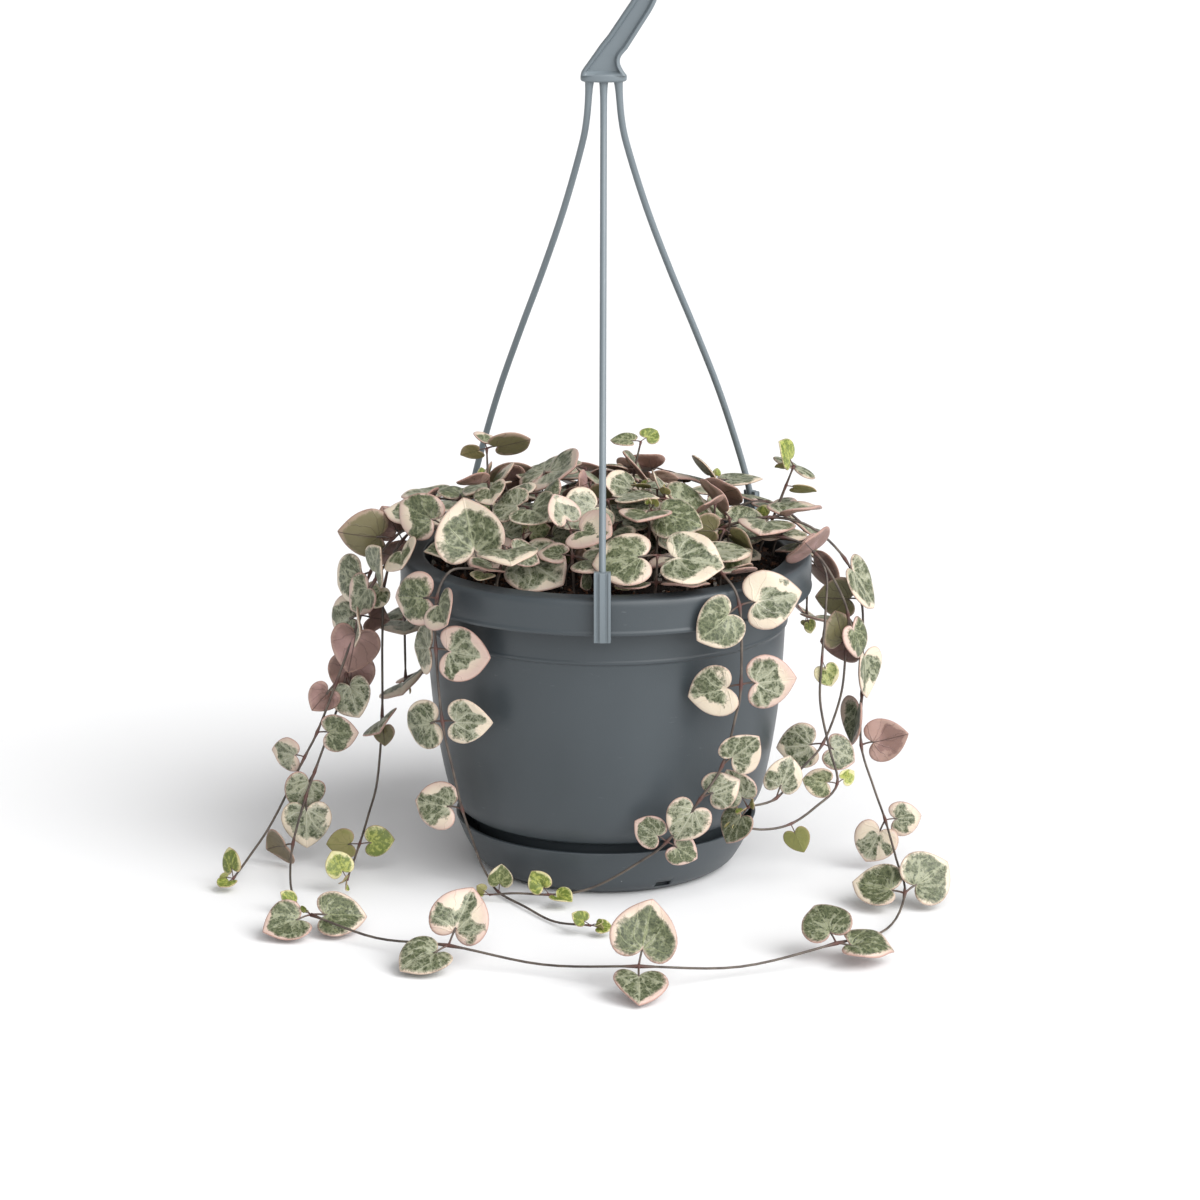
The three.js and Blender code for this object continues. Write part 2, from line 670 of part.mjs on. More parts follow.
function shootRoute(index, draw) {
  const spread = SHOOT_SPREAD * Math.sqrt((index + 0.5) / SHOOTS);
  const angle = radians(GOLDEN_ANGLE * index);
  const root = [spread * Math.cos(angle) + draw(-5, 5), spread * Math.sin(angle) + draw(-5, 5)];
  const bend = radians(GOLDEN_ANGLE * index + draw(-70, 70));
  const lean = draw(0.1, 0.6);
  const ground = soilHeight(Math.hypot(...root));
  const points = [];
  let height = moundHeight(Math.hypot(...root)) - draw(2, 8);
  while (height > ground + 7) {
    const reach = lean * (height - ground);
    points.unshift([root[0] + reach * Math.cos(bend), root[1] + reach * Math.sin(bend), height]);
    height -= LAYER_STEP * draw(0.85, 1.15);
  }
  return { root, points };
}

function growMound() {
  const draw = seededDraws(555);
  const shoots = [];
  for (let index = 0; index < SHOOTS; index += 1) {
    for (let attempt = 0; attempt < 60; attempt += 1) {
      const { root, points } = shootRoute(index, draw);
      const stem = makeStem(`shoot_${index + 1}`, root, points, 1);
      const blocked = stem.rods.some((rod) => bodies.some((body) => !areClear(rod, body, 1)));
      if (blocked) continue;
      keepStem(stem);
      shoots.push(stem);
      break;
    }
  }
  for (const layer of [1, 2]) {
    for (const stem of shoots) {
      if (layer <= stem.points.length) growPair(stem, stem.points.at(-layer), draw(13, 18), draw, 40);
    }
  }
}

hangerBodies();
growTrailing();
growMound();
const leafy = plant.filter(({ leaves }) => leaves.length > 0);

// ---------------------------------------------------------------- the object

const greyPlastic = { color: 0x5c666d, roughness: 0.55, metalness: 0 };
const object = new THREE.Group();

object.add(asMesh('pot', makePot(), new THREE.MeshStandardMaterial(greyPlastic)));
object.add(asMesh('saucer', makeSaucer(), new THREE.MeshStandardMaterial(greyPlastic)));
object.add(asMesh('hanger', makeHanger(), new THREE.MeshStandardMaterial({ ...greyPlastic, color: 0x76828a })));
object.add(asMesh('soil', makeSoil(leafy.map(({ root }) => root)), new THREE.MeshStandardMaterial({
  color: 0x2b211b, roughness: 1, metalness: 0,
})));

for (const stem of leafy) {
  const solids = [tube(stem.route, STEM_RADIUS, 3, stem.steps), ...stem.leaves.map(leafSolid)];
  object.add(asMesh(stem.name, outerSkin(joinAll(solids)), new THREE.MeshStandardMaterial({
    color: 0x6f8262, roughness: 0.5, metalness: 0,
  })));
}

export default object;
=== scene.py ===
import math

import bpy
import numpy as np
from mathutils.bvhtree import BVHTree
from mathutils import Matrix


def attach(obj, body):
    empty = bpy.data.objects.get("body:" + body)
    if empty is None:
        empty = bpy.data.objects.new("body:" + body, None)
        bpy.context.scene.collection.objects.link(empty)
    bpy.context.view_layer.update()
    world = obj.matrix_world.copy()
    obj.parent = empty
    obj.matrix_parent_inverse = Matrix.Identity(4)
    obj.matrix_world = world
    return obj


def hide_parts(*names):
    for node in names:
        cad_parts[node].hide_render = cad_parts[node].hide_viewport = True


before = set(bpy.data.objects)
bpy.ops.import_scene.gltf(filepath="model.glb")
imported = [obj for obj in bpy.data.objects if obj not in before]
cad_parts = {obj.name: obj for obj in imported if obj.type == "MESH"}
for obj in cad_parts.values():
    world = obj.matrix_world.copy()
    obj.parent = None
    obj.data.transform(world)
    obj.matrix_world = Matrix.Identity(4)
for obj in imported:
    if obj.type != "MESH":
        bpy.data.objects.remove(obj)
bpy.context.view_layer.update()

# ---------------------------------------------------------------- studio
# A white sweep in soft light. Two broad sources on the right give the shadow on the left, and a
# third fills the front. The camera looks slightly down at the plant.
CAMERA_LENS = 108.78
CAMERA_PITCH = 14.22
CAMERA_PLACE = (-0.002, -1.2, 0.3954)
FLOOR_REACH = 9
FLOOR_WHITE = (0.88, 0.88, 0.885, 1)
SURROUND_STRENGTH = 0.42

scene = bpy.context.scene
scene.view_settings.view_transform = "Standard"

camera = bpy.data.objects.new("camera", bpy.data.cameras.new("camera"))
camera.data.lens = CAMERA_LENS
camera.data.sensor_width = 36
camera.data.clip_start = 0.05
camera.location = CAMERA_PLACE
camera.rotation_euler = (math.radians(90 - CAMERA_PITCH), 0, 0)
scene.collection.objects.link(camera)
scene.camera = camera


def give(node, **values):
    """Sets a node's inputs, or links them where the value comes out of another node."""
    for name, value in values.items():
        socket = node.inputs[name.replace("_", " ")]
        if isinstance(value, bpy.types.NodeSocket):
            node.id_data.links.new(value, socket)
        else:
            socket.default_value = value


def start_material(name):
    made = bpy.data.materials.new(name)
    made.use_nodes = True
    return made, made.node_tree, made.node_tree.nodes["Principled BSDF"]


def soft_sun(name, from_front, height, strength, breadth):
    """A distant light, so many degrees round to the right of the camera and above the floor."""
    sun = bpy.data.objects.new(name, bpy.data.lights.new(name, "SUN"))
    sun.data.energy = strength
    sun.data.angle = math.radians(breadth)
    sun.rotation_euler = (math.radians(90 - height), 0, math.radians(from_front))
    scene.collection.objects.link(sun)


soft_sun("key_light", 62, 44, 2.3, 42)
soft_sun("side_light", 50, 10, 1.7, 50)
soft_sun("front_light", 10, 36, 1.2, 44)

floor_mesh = bpy.data.meshes.new("floor")
floor_corners = [(x * FLOOR_REACH, y * FLOOR_REACH, 0) for x, y in ((-1, -1), (1, -1), (1, 1), (-1, 1))]
floor_mesh.from_pydata(floor_corners, [], [(0, 1, 2, 3)])
floor = bpy.data.objects.new("floor", floor_mesh)
floor.location.z = -0.0001
scene.collection.objects.link(floor)
floor_paint, _, shader = start_material("white_sweep")
give(shader, Base_Color=FLOOR_WHITE, Roughness=0.9, Specular_IOR_Level=0.1)
floor_mesh.materials.append(floor_paint)

scene.world = bpy.data.worlds.new("white_surround")
scene.world.use_nodes = True
give(scene.world.node_tree.nodes["Background"], Color=(1, 1, 1, 1), Strength=SURROUND_STRENGTH)


# ---------------------------------------------------------------- pot
# The pot is moulded in slate-grey polypropylene: a slightly bellied wall, a stepped collar
# under a deep turned-down rim, and a foot with four drain holes that clips into the saucer.
# Its skin is satin, with a faint grain and a few pale scuffs.
MM = 0.001
RIM_RADIUS = 70
RIM_TOP = 108.8
RIM_BOTTOM = 96.8
POT_FOOT = 2.3
FLOOR_TOP = POT_FOOT + 1.4
DRAIN_RADIUS = 3.5
DRAIN_RING = 30
ROUND_SIDES = 168
SLATE, SLATE_SCUFF, SLATE_ROUGHNESS = (0.048, 0.0585, 0.066), (0.3, 0.32, 0.33), 0.4


class Nodes:
    """Adds shader nodes to one material and links them."""

    def __init__(self, tree):
        self.tree = tree

    def add(self, kind, inputs=(), **settings):
        node = self.tree.nodes.new(kind)
        for key, value in settings.items():
            setattr(node, key, value)
        for socket, value in dict(inputs).items():
            if isinstance(value, bpy.types.NodeSocket):
                self.tree.links.new(value, node.inputs[socket])
            else:
                node.inputs[socket].default_value = value
        return node

    def place(self):
        """Where a point of the surface is on its piece."""
        return self.add("ShaderNodeTexCoord").outputs["Object"]

    def stored(self, name):
        """A number that the mesh holds at each vertex."""
        return self.add("ShaderNodeAttribute", attribute_name=name).outputs["Fac"]

    def math(self, operation, *values):
        return self.add("ShaderNodeMath", enumerate(values), operation=operation).outputs[0]

    def plus(self, first, second):
        return self.math("ADD", first, second)

    def minus(self, first, second):
        return self.math("SUBTRACT", first, second)

    def times(self, first, second):
        return self.math("MULTIPLY", first, second)

    def scaled(self, value, factor, shift):
        """A value times a factor, plus a shift."""
        return self.math("MULTIPLY_ADD", value, factor, shift)

    def ramp(self, value, low, high):
        """0 at low, 1 at high, smooth between them."""
        inputs = {0: value, 1: low, 2: high}
        return self.add("ShaderNodeMapRange", inputs, interpolation_type="SMOOTHSTEP").outputs[0]

    def mix(self, share, first, second, blend="MIX"):
        first, second = ((*c, 1) if isinstance(c, tuple) else c for c in (first, second))
        inputs = {0: share, 6: first, 7: second}
        return self.add("ShaderNodeMix", inputs, data_type="RGBA", blend_type=blend).outputs[2]

    def noise(self, place, scale, detail=2.0, roughness=0.5):
        inputs = {"Vector": place, "Scale": scale, "Detail": detail, "Roughness": roughness}
        return self.add("ShaderNodeTexNoise", inputs).outputs[0]

    def bump(self, height, depth, strength=1.0):
        inputs = {"Height": height, "Distance": depth, "Strength": strength}
        return self.add("ShaderNodeBump", inputs).outputs[0]


def moulded_plastic(name, colour, scuffed, roughness):
    """Satin plastic with a fine grain, specks and rubbed streaks."""
    made, tree, shader = start_material(name)
    nodes = Nodes(tree)
    place = nodes.place()
    broad = nodes.noise(place, 26, 3)
    grain = nodes.noise(place, 2600, 2)
    speck = nodes.ramp(nodes.noise(place, 420, 2, 0.6), 0.78, 0.83)
    stretched = nodes.add("ShaderNodeMapping", {"Vector": place, "Scale": (1, 1, 6)}).outputs[0]
    rub = nodes.ramp(nodes.noise(stretched, 150, 4, 0.62), 0.68, 0.78)
    scuff = nodes.math("MAXIMUM", speck, nodes.times(rub, 0.22))
    shade = nodes.mix(nodes.ramp(broad, 0.3, 0.72), colour, tuple(c * 1.09 for c in colour))
    gloss = nodes.scaled(nodes.noise(place, 60, 4), 0.14, roughness - 0.07)
    give(
        shader, Base_Color=nodes.mix(scuff, shade, scuffed), Roughness=nodes.scaled(scuff, 0.2, gloss),
        Normal=nodes.bump(grain, 0.00005, 0.5), Specular_IOR_Level=0.45,
    )
    return made


def rounded(profile):
    """Lays a short curve at each (radius, height, corner size) of a turned profile."""
    points = []
    for index, (radius, height, *corner) in enumerate(profile):
        here = np.array([radius, height], float)
        if not corner:
            points.append(here)
            continue
        ends = []
        for beside in (profile[index - 1], profile[index + 1]):
            away = np.array(beside[:2], float) - here
            reach = min(corner[0], 0.45 * np.linalg.norm(away))
            ends.append(here + away / np.linalg.norm(away) * reach)
        start, end = ends
        for share in np.linspace(0, 1, 5):
            points.append((1 - share) ** 2 * start + 2 * share * (1 - share) * here + share ** 2 * end)
    return np.array(points)


def band_faces(rings, sides, first=0):
    """Faces between rings of vertices that follow each other."""
    return [
        (low + side, low + (side + 1) % sides, low + sides + (side + 1) % sides, low + sides + side)
        for low in range(first, first + (rings - 1) * sides, sides) for side in range(sides)
    ]


def turned(profile, sides=ROUND_SIDES):
    """Vertices in mm and faces of a solid of revolution. The profile starts and ends on the axis."""
    rings = profile[1:-1]
    angles = np.arange(sides) * 2 * math.pi / sides
    round_ring = np.stack([np.cos(angles), np.sin(angles)], 1)
    verts = [[0, 0, profile[0][1]], [0, 0, profile[-1][1]]]
    for radius, height in rings:
        verts += [[radius * x, radius * y, height] for x, y in round_ring]
    last = 2 + (len(rings) - 1) * sides
    faces = band_faces(len(rings), sides, 2)
    for side in range(sides):
        after = (side + 1) % sides
        faces += [(0, 2 + after, 2 + side), (1, last + side, last + after)]
    return np.array(verts), faces


def spin(verts, degrees):
    """Turns points round the upright axis."""
    c, s = math.cos(math.radians(degrees)), math.sin(math.radians(degrees))
    return verts @ np.array([[c, s, 0], [-s, c, 0], [0, 0, 1]])


def new_object(name, verts, faces):
    """A mesh object from vertices in mm."""
    mesh = bpy.data.meshes.new(name)
    mesh.from_pydata((np.asarray(verts) * MM).tolist(), [], faces)
    made = bpy.data.objects.new(name, mesh)
    scene.collection.objects.link(made)
    return made


def place_piece(name, verts, faces, materials, material_slot, *cad_nodes):
    """Makes a piece that rides on the root and stands for some CAD nodes."""
    piece = new_object(name, verts, faces)
    piece.data.shade_smooth()
    for made in materials:
        piece.data.materials.append(made)
    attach(piece, "root")
    if cad_nodes:
        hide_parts(*cad_nodes)
    return piece


def keep_edges(piece, degrees):
    """Shades faces flat across edges that are sharper than this."""
    bpy.context.view_layer.objects.active = piece
    piece.select_set(True)
    bpy.ops.object.shade_smooth_by_angle(angle=math.radians(degrees))
    piece.select_set(False)


def cut_away(piece, verts, faces):
    """Takes a closed shape, in mm, out of a piece."""
    cutter = new_object("cutter", verts, faces)
    cut = piece.modifiers.new("cut", "BOOLEAN")
    cut.object = cutter
    cut.solver = "EXACT"
    bpy.context.view_layer.objects.active = piece
    bpy.ops.object.modifier_apply(modifier="cut")
    bpy.data.objects.remove(cutter)


# Radius, height and corner size of each point, up the outside of the pot and down its inside.
wall_outside = [
    (50.7, 20.6, 0.4), (53.7, 25, 2.5), (55.7, 33, 5), (57.7, 44, 6), (59.4, 56, 8), (60.6, 70, 8),
    (61.3, 84.5, 0.5), (62.1, 85.2, 0.25), (62.15, 85.9, 0.2), (61.95, 86.4, 0.2), (62.1, 90, 2),
]
wall_inside = [(61, 97, 3), (57.9, 56.2, 8), (54.1, 33.4, 6), (49.2, 22, 2)]
under_rim = [(62.7, 106.8, 0.8), (68.5, 106.8, 0.8), (68.6, RIM_BOTTOM, 0.2)]
rim_face = [
    (RIM_RADIUS, RIM_BOTTOM, 0.3), (RIM_RADIUS + 0.25, RIM_BOTTOM + 0.9, 0.3),
    (RIM_RADIUS - 0.1, RIM_BOTTOM + 1.7, 0.3), (RIM_RADIUS, RIM_TOP - 1.6, 1.1),
    (RIM_RADIUS - 0.8, RIM_TOP, 0.9),
]
pot_profile = rounded([
    (0, POT_FOOT), (41.4, POT_FOOT, 0.8), (46.4, 18.6, 1), *wall_outside, *under_rim, *rim_face,
    (61.4, RIM_TOP, 1), *wall_inside, (45.1, 20, 1), (40.6, FLOOR_TOP, 1), (0, FLOOR_TOP),
])
pot_plastic = moulded_plastic("slate_plastic", SLATE, SLATE_SCUFF, SLATE_ROUGHNESS)
pot = place_piece("hanging_pot", *turned(pot_profile), [pot_plastic], "pot_plastic", "pot")
keep_edges(pot, 50)
drill, drill_faces = turned([(0, 1.2), (DRAIN_RADIUS, 1.2), (DRAIN_RADIUS, 4.6), (0, 4.6)], 24)
for hole in range(4):
    cut_away(pot, drill + spin([DRAIN_RING, 0, 0], 90 * hole), drill_faces)


# ---------------------------------------------------------------- saucer
# A shallow cup of the same plastic that clips over the pot's foot and catches what drains.
# A small slot in its side lets the foot's catch through.
SLOT_WIDTH = 5.6
SLOT_TURN = -65
SLOT_SIDES = [(0, 1, 3, 2), (4, 6, 7, 5), (0, 4, 5, 1), (2, 3, 7, 6), (0, 2, 6, 4), (1, 5, 7, 3)]
saucer_profile = rounded([
    (0, 0), (40.7, 0, 0.8), (44.8, 2.5, 1.6), (48.8, 9.2, 4), (51.9, 17.2, 0.45),
    (50.5, 17.2, 0.45), (47.4, 9.6, 3), (42.2, 2, 1), (0, 2),
])
saucer = place_piece("drip_saucer", *turned(saucer_profile), [pot_plastic], "pot_plastic", "saucer")
keep_edges(saucer, 50)

slot = np.array([
    (x, y, z) for x in (42.6, 46.6) for y in (-SLOT_WIDTH / 2, SLOT_WIDTH / 2) for z in (2.3, 4.1)
])
cut_away(saucer, spin(slot, SLOT_TURN), SLOT_SIDES)


# ---------------------------------------------------------------- hanger
# The hanger is moulded in one piece from a paler grey plastic. Three thin strands sweep out
# from the foot of the hook to clips that grip the pot's rim, and the hook has a rounded
# rib round a sunk web.
CLIP_ANGLES = [-91, 44, 132]
CLIP_FACE = 72.4
CLIP_TOP = 118.6
CLIP_WIDTH = 5.4
STRAND_RADIUS = 1.15
STRAND_STEPS = 72
HANGER_BASE = 267.4
HOOK_HALF_DEPTH = 2.7
HOOK_RIB = 1.3
GREY, GREY_SCUFF, GREY_ROUGHNESS = (0.15, 0.178, 0.196), (0.45, 0.47, 0.49), 0.38

# Height of each point of a strand, and its share of the way out to its clip.
strand_sweep = [
    (HANGER_BASE + 1, 0), (255, 0.024), (244.5, 0.072), (223.6, 0.208), (202, 0.375),
    (180, 0.56), (157, 0.744), (134, 0.9), (119, 0.985),
]
strand_tops = [(-0.8, 0), (4, 0), (-5.4, 0)]


def smooth_route(points, steps):
    """A smooth line through the points, with the same number of steps between each two."""
    points = np.array(points, float)
    ends = np.array([2 * points[0] - points[1], 2 * points[-1] - points[-2]])
    held = np.vstack([ends[:1], points, ends[1:]])
    spans = len(points) - 1
    line = []
    for step in range(steps + 1):
        place = spans * step / steps
        span = min(int(place), spans - 1)
        t = place - span
        before, start, end, after = held[span:span + 4]
        leave, arrive = 0.5 * (end - before), 0.5 * (after - start)
        line.append(
            (2 * start - 2 * end + leave + arrive) * t ** 3
            + (-3 * start + 3 * end - 2 * leave - arrive) * t ** 2 + leave * t + start
        )
    return np.array(line)


def strand_points(index):
    """The line of a strand, from the foot of the hook down into its clip."""
    angle = math.radians(CLIP_ANGLES[index])
    top_x, top_y = strand_tops[index]
    foot_x, foot_y = (CLIP_FACE - 1) * math.cos(angle), (CLIP_FACE - 1) * math.sin(angle)
    points = [
        (top_x + (foot_x - top_x) * share, top_y + (foot_y - top_y) * share, z)
        for z, share in strand_sweep
    ]
    return [*points, (foot_x, foot_y, CLIP_TOP - 6)]


def tube_faces(rings, sides):
    """Faces round a tube of several rings, and over both its ends."""
    last = (rings - 1) * sides
    ends = [tuple(reversed(range(sides))), tuple(range(last, last + sides))]
    return [*band_faces(rings, sides), *ends]


def rod(line, radii, sides):
    """Vertices and faces of a closed rod along a line, with a radius at each of its points."""
    line = np.asarray(line, float)
    runs = np.gradient(line, axis=0)
    runs /= np.linalg.norm(runs, axis=1)[:, None]
    across = np.cross(runs[0], [0.31, 0.95, 0.07])
    verts = []
    for point, run, radius in zip(line, runs, radii):
        across = across - run * across.dot(run)
        across /= np.linalg.norm(across)
        other = np.cross(run, across)
        for side in range(sides):
            angle = 2 * math.pi * side / sides
            verts.append(point + radius * (across * math.cos(angle) + other * math.sin(angle)))
    return np.array(verts), tube_faces(len(line), sides)


def gather(shapes):
    """One list of vertices and one of faces from several shapes."""
    verts, faces, start = [], [], 0
    for shape_verts, shape_faces in shapes:
        verts.append(shape_verts)
        faces += [tuple(start + corner for corner in face) for face in shape_faces]
        start += len(shape_verts)
    return np.vstack(verts), faces


def slab(outline, width):
    """A flat outline of [x, z] pairs, made thick along Y."""
    count = len(outline)
    verts = [(x, y, z) for y in (-width / 2, width / 2) for x, z in outline]
    faces = [tuple(range(count)), tuple(reversed(range(count, 2 * count)))]
    for corner in range(count):
        after = (corner + 1) % count
        faces.append((corner, corner + count, after + count, after))
    return np.array(verts), faces


def clip_shapes(angle):
    """A plate with a groove for the rim, and three ribs on its outer face."""
    inside = RIM_RADIUS + 0.4
    foot = RIM_BOTTOM - 1.5
    plate = slab([
        (CLIP_FACE, foot), (CLIP_FACE, CLIP_TOP), (inside, CLIP_TOP),
        (inside, RIM_TOP + 1.9), (66, RIM_TOP + 1.6), (66, RIM_TOP + 0.4), (inside, RIM_TOP + 0.4),
        (inside, RIM_BOTTOM - 0.3), (68.1, RIM_BOTTOM - 0.3), (68.1, RIM_BOTTOM + 1.8),
        (67.2, RIM_BOTTOM + 1.8), (67.2, foot),
    ], CLIP_WIDTH)
    shapes = [plate]
    edge = CLIP_WIDTH / 2 - 0.4
    for y, width, stand in ((0, 1.7, 0.8), (edge, 0.8, 0.45), (-edge, 0.8, 0.45)):
        low, high = CLIP_FACE - 0.3, CLIP_FACE + stand
        rib, faces = slab([
            (low, foot + 0.1), (high - 0.2, foot + 0.1), (high, foot + 0.5),
            (high, CLIP_TOP - 0.5), (high - 0.2, CLIP_TOP - 0.1), (low, CLIP_TOP - 0.1),
        ], width)
        shapes.append((rib + [0, y, 0], faces))
    verts, faces = gather(shapes)
    return spin(verts, angle), faces


# Left x and z, and right x and z, of the hook where it widens to its foot.
hook_foot_edges = [
    (-8.4, 269.6, 6.7, 269.6), (-7.9, 271.1, 5.7, 271), (-6.2, 273.5, 4.85, 272.6),
    (-4.2, 276.3, 4.55, 274.2), (-1.7, 279.8, 5.0, 276),
]


def hook_edges():
    """The same for the whole flat hook, from its foot to its tip."""
    bend_x, bend_z, bend_radius = 0.4, 301, 14
    line = [(3.8, 280.5), (8.2, 287.2)]
    for turn in np.radians(range(-30, 201, 23)):
        line.append((bend_x + bend_radius * math.cos(turn), bend_z + bend_radius * math.sin(turn)))
    line = smooth_route(line, (len(line) - 1) * 6)
    run = np.gradient(line, axis=0)
    run /= np.linalg.norm(run, axis=1)[:, None]
    aside = np.stack([-run[:, 1], run[:, 0]], 1) * np.linspace(3.85, 2.6, len(line))[:, None]
    band = np.hstack([line + aside, line - aside])
    foot = smooth_route([*hook_foot_edges, band[0]], 20)
    return np.vstack([foot[:-1], band])


def hook_shape():
    """A rounded rib round a sunk web, closed at both ends."""
    edges = hook_edges()
    deep, verts = HOOK_HALF_DEPTH, []
    for step, (left_x, left_z, right_x, right_z) in enumerate(edges):
        middle = np.array([left_x + right_x, 0, left_z + right_z]) / 2
        aside = np.array([left_x - right_x, 0, left_z - right_z]) / 2
        half = np.linalg.norm(aside)
        aside /= half
        from_end = min(step - 1.5, len(edges) - 4 - step)
        web = np.interp(from_end, [0, 2.5], [deep - 0.1, 1])
        inner = half - HOOK_RIB
        quarter = [
            (inner - 0.55, web), (inner - 0.3, web + 0.25 * (deep - web)),
            (inner, deep - 0.12 * (deep - web)), (half - 1.1, deep), (half - 0.62, deep - 0.06),
            (half - 0.24, deep - 0.28), (half - 0.04, deep - 0.7), (half, deep - 1.2),
        ]
        for side, face, order in ((1, 1, 1), (1, -1, -1), (-1, -1, 1), (-1, 1, -1)):
            for across, depth in quarter[::order]:
                verts.append(middle + aside * side * across + [0, face * depth, 0])
    return np.array(verts), tube_faces(len(edges), 4 * len(quarter))


def hook_foot():
    """The rounded bar that the three strands start from."""
    profile = rounded([(0, 0), (3, 0, 0.9), (3, 2.9, 0.9), (0, 2.9)])
    verts, faces = turned(profile, 48)
    return verts * [2.55, 1, 1] + [-0.8, 0, HANGER_BASE], faces


hanger_shapes = [hook_shape(), hook_foot()]
for index, angle in enumerate(CLIP_ANGLES):
    line = smooth_route(strand_points(index), STRAND_STEPS)
    radii = STRAND_RADIUS * (1 + 0.5 * np.exp(-np.arange(STRAND_STEPS + 1) / 1.6))
    hanger_shapes += [rod(line, radii, 12), clip_shapes(angle)]
hanger_plastic = moulded_plastic("grey_plastic", GREY, GREY_SCUFF, GREY_ROUGHNESS)
hanger = place_piece(
    "three_strand_hanger", *gather(hanger_shapes), [hanger_plastic], "hanger_plastic", "hanger",
)
keep_edges(hanger, 38)


# ---------------------------------------------------------------- soil
# Moist peat compost with bark fines, rusty crumbs and a little white perlite. It fills the pot
# to just under the rim and heaps slightly in the middle.
SOIL_EDGE = 104.5
SOIL_MIDDLE = 107
SOIL_RADIUS = 60.2
CRUMBS = 2600
WHITE_SHARE = 0.035
PEAT_BLACK, PEAT_BROWN = (0.014, 0.007, 0.004), (0.075, 0.036, 0.02)
BARK, PERLITE = (0.2, 0.085, 0.04), (0.62, 0.58, 0.52)
crumbs_random = np.random.default_rng(31)


def soil_height(radius):
    return SOIL_MIDDLE + (SOIL_EDGE - SOIL_MIDDLE) * (radius / 60) ** 2


def soil_body():
    """The filled inside of the pot, with an uneven top."""
    rings = np.concatenate([[SOIL_RADIUS], np.linspace(59.6, 1.2, 40)])
    body = [(0, 4), (40.2, 4), (44.6, 20.6), (48.7, 22.2), (57.4, 56.2), (60.4, 96)]
    top = [(radius, soil_height(radius)) for radius in rings]
    verts, faces = turned([*body, *top, (0, SOIL_MIDDLE)], 120)
    on_top = verts[:, 2] > 103
    starts = crumbs_random.uniform(0, 2 * math.pi, (40, 2))
    waves = crumbs_random.normal(0, 0.55, (40, 2))
    rise = sum(np.sin(verts[:, :2] @ wave + start[0]) for wave, start in zip(waves, starts))
    verts[on_top, 2] += 0.09 * rise[on_top] - 0.4
    return verts, faces


# A crumb starts as a solid of twenty triangles.
golden = (1 + 5 ** 0.5) / 2
crumb_corners = np.array([
    (-1, golden, 0), (1, golden, 0), (-1, -golden, 0), (1, -golden, 0), (0, -1, golden), (0, 1, golden),
    (0, -1, -golden), (0, 1, -golden), (golden, 0, -1), (golden, 0, 1), (-golden, 0, -1), (-golden, 0, 1),
]) / 1.9
crumb_faces = [
    (0, 11, 5), (0, 5, 1), (0, 1, 7), (0, 7, 10), (0, 10, 11), (1, 5, 9), (5, 11, 4), (11, 10, 2),
    (10, 7, 6), (7, 1, 8), (3, 9, 4), (3, 4, 2), (3, 2, 6), (3, 6, 8), (3, 8, 9), (4, 9, 5),
    (2, 4, 11), (6, 2, 10), (8, 6, 7), (9, 8, 1),
]


# Each crumb has its tone: dark peat, rusty bark or white perlite.
soil_parts = [soil_body()]
soil_tones = [np.full(len(soil_parts[0][0]), 0.15)]
for crumb in range(CRUMBS):
    radius = (SOIL_RADIUS - 0.7) * math.sqrt(crumbs_random.uniform())
    angle = crumbs_random.uniform(0, 2 * math.pi)
    kind = crumbs_random.uniform()
    size = crumbs_random.uniform(0.35, 1.0) if kind < 0.85 else crumbs_random.uniform(0.7, 1.5)
    shape = crumb_corners * crumbs_random.uniform(0.55, 1.25, (12, 1))
    shape = shape * crumbs_random.uniform(0.5, 1.2, 3)
    middle = [
        radius * math.cos(angle), radius * math.sin(angle),
        soil_height(radius) - 0.2 + crumbs_random.uniform(-0.2, 0.5) * size,
    ]
    if radius + size * 1.3 > SOIL_RADIUS:
        continue
    any_turn, _ = np.linalg.qr(crumbs_random.normal(size=(3, 3)))
    soil_parts.append((shape @ any_turn * size + middle, crumb_faces))
    tone = crumbs_random.uniform(0, 0.42) if kind < 0.72 else crumbs_random.uniform(0.5, 0.72)
    soil_tones.append(np.full(len(crumb_corners), 1.0 if kind > 1 - WHITE_SHARE else tone))

soil_paint, tree, shader = start_material("peat_compost")
nodes = Nodes(tree)
tone = nodes.stored("tone")
fleck = nodes.noise(nodes.place(), 900, 4, 0.7)
shade = nodes.mix(nodes.ramp(tone, 0.05, 0.45), PEAT_BLACK, PEAT_BROWN)
shade = nodes.mix(nodes.ramp(tone, 0.45, 0.7), shade, BARK)
shade = nodes.mix(nodes.ramp(tone, 0.8, 0.95), shade, PERLITE)
dark = nodes.mix(nodes.ramp(fleck, 0.35, 0.7), (0.35, 0.33, 0.32), (1, 1, 1))
shade = nodes.mix(1.0, shade, dark, "MULTIPLY")
give(shader, Base_Color=shade, Normal=nodes.bump(fleck, 0.0006, 0.8), Roughness=0.92)
soil = place_piece("compost", *gather(soil_parts), [soil_paint], "soil", "soil")
soil.data.attributes.new("tone", "FLOAT", "POINT").data.foreach_set("value", np.concatenate(soil_tones))
keep_edges(soil, 30)


# ---------------------------------------------------------------- how the plant grows
# Wiry stems bear fleshy heart-shaped leaves in opposite pairs. Each leaf grows where it is
# clear of its neighbours: it turns a little further at each try until it finds room.
STEM_RADIUS = 0.8
POT_GAP = 1.6
TRY_SWING = 4
ROOT_DEPTH = 7
STALK_SHARE = 0.18
STALK_SPARE = 1.6

# Places on a heart of length 1, across and along, from the notch where its stalk ends.
NOTCH = (0.05, 0.03)
half_heart = np.array([(0.3, -0.17), (0.61, 0.13), (0.42, 0.62)])
heart_corners = np.array([(0, 1), *half_heart, *(half_heart * [-1, 1])])


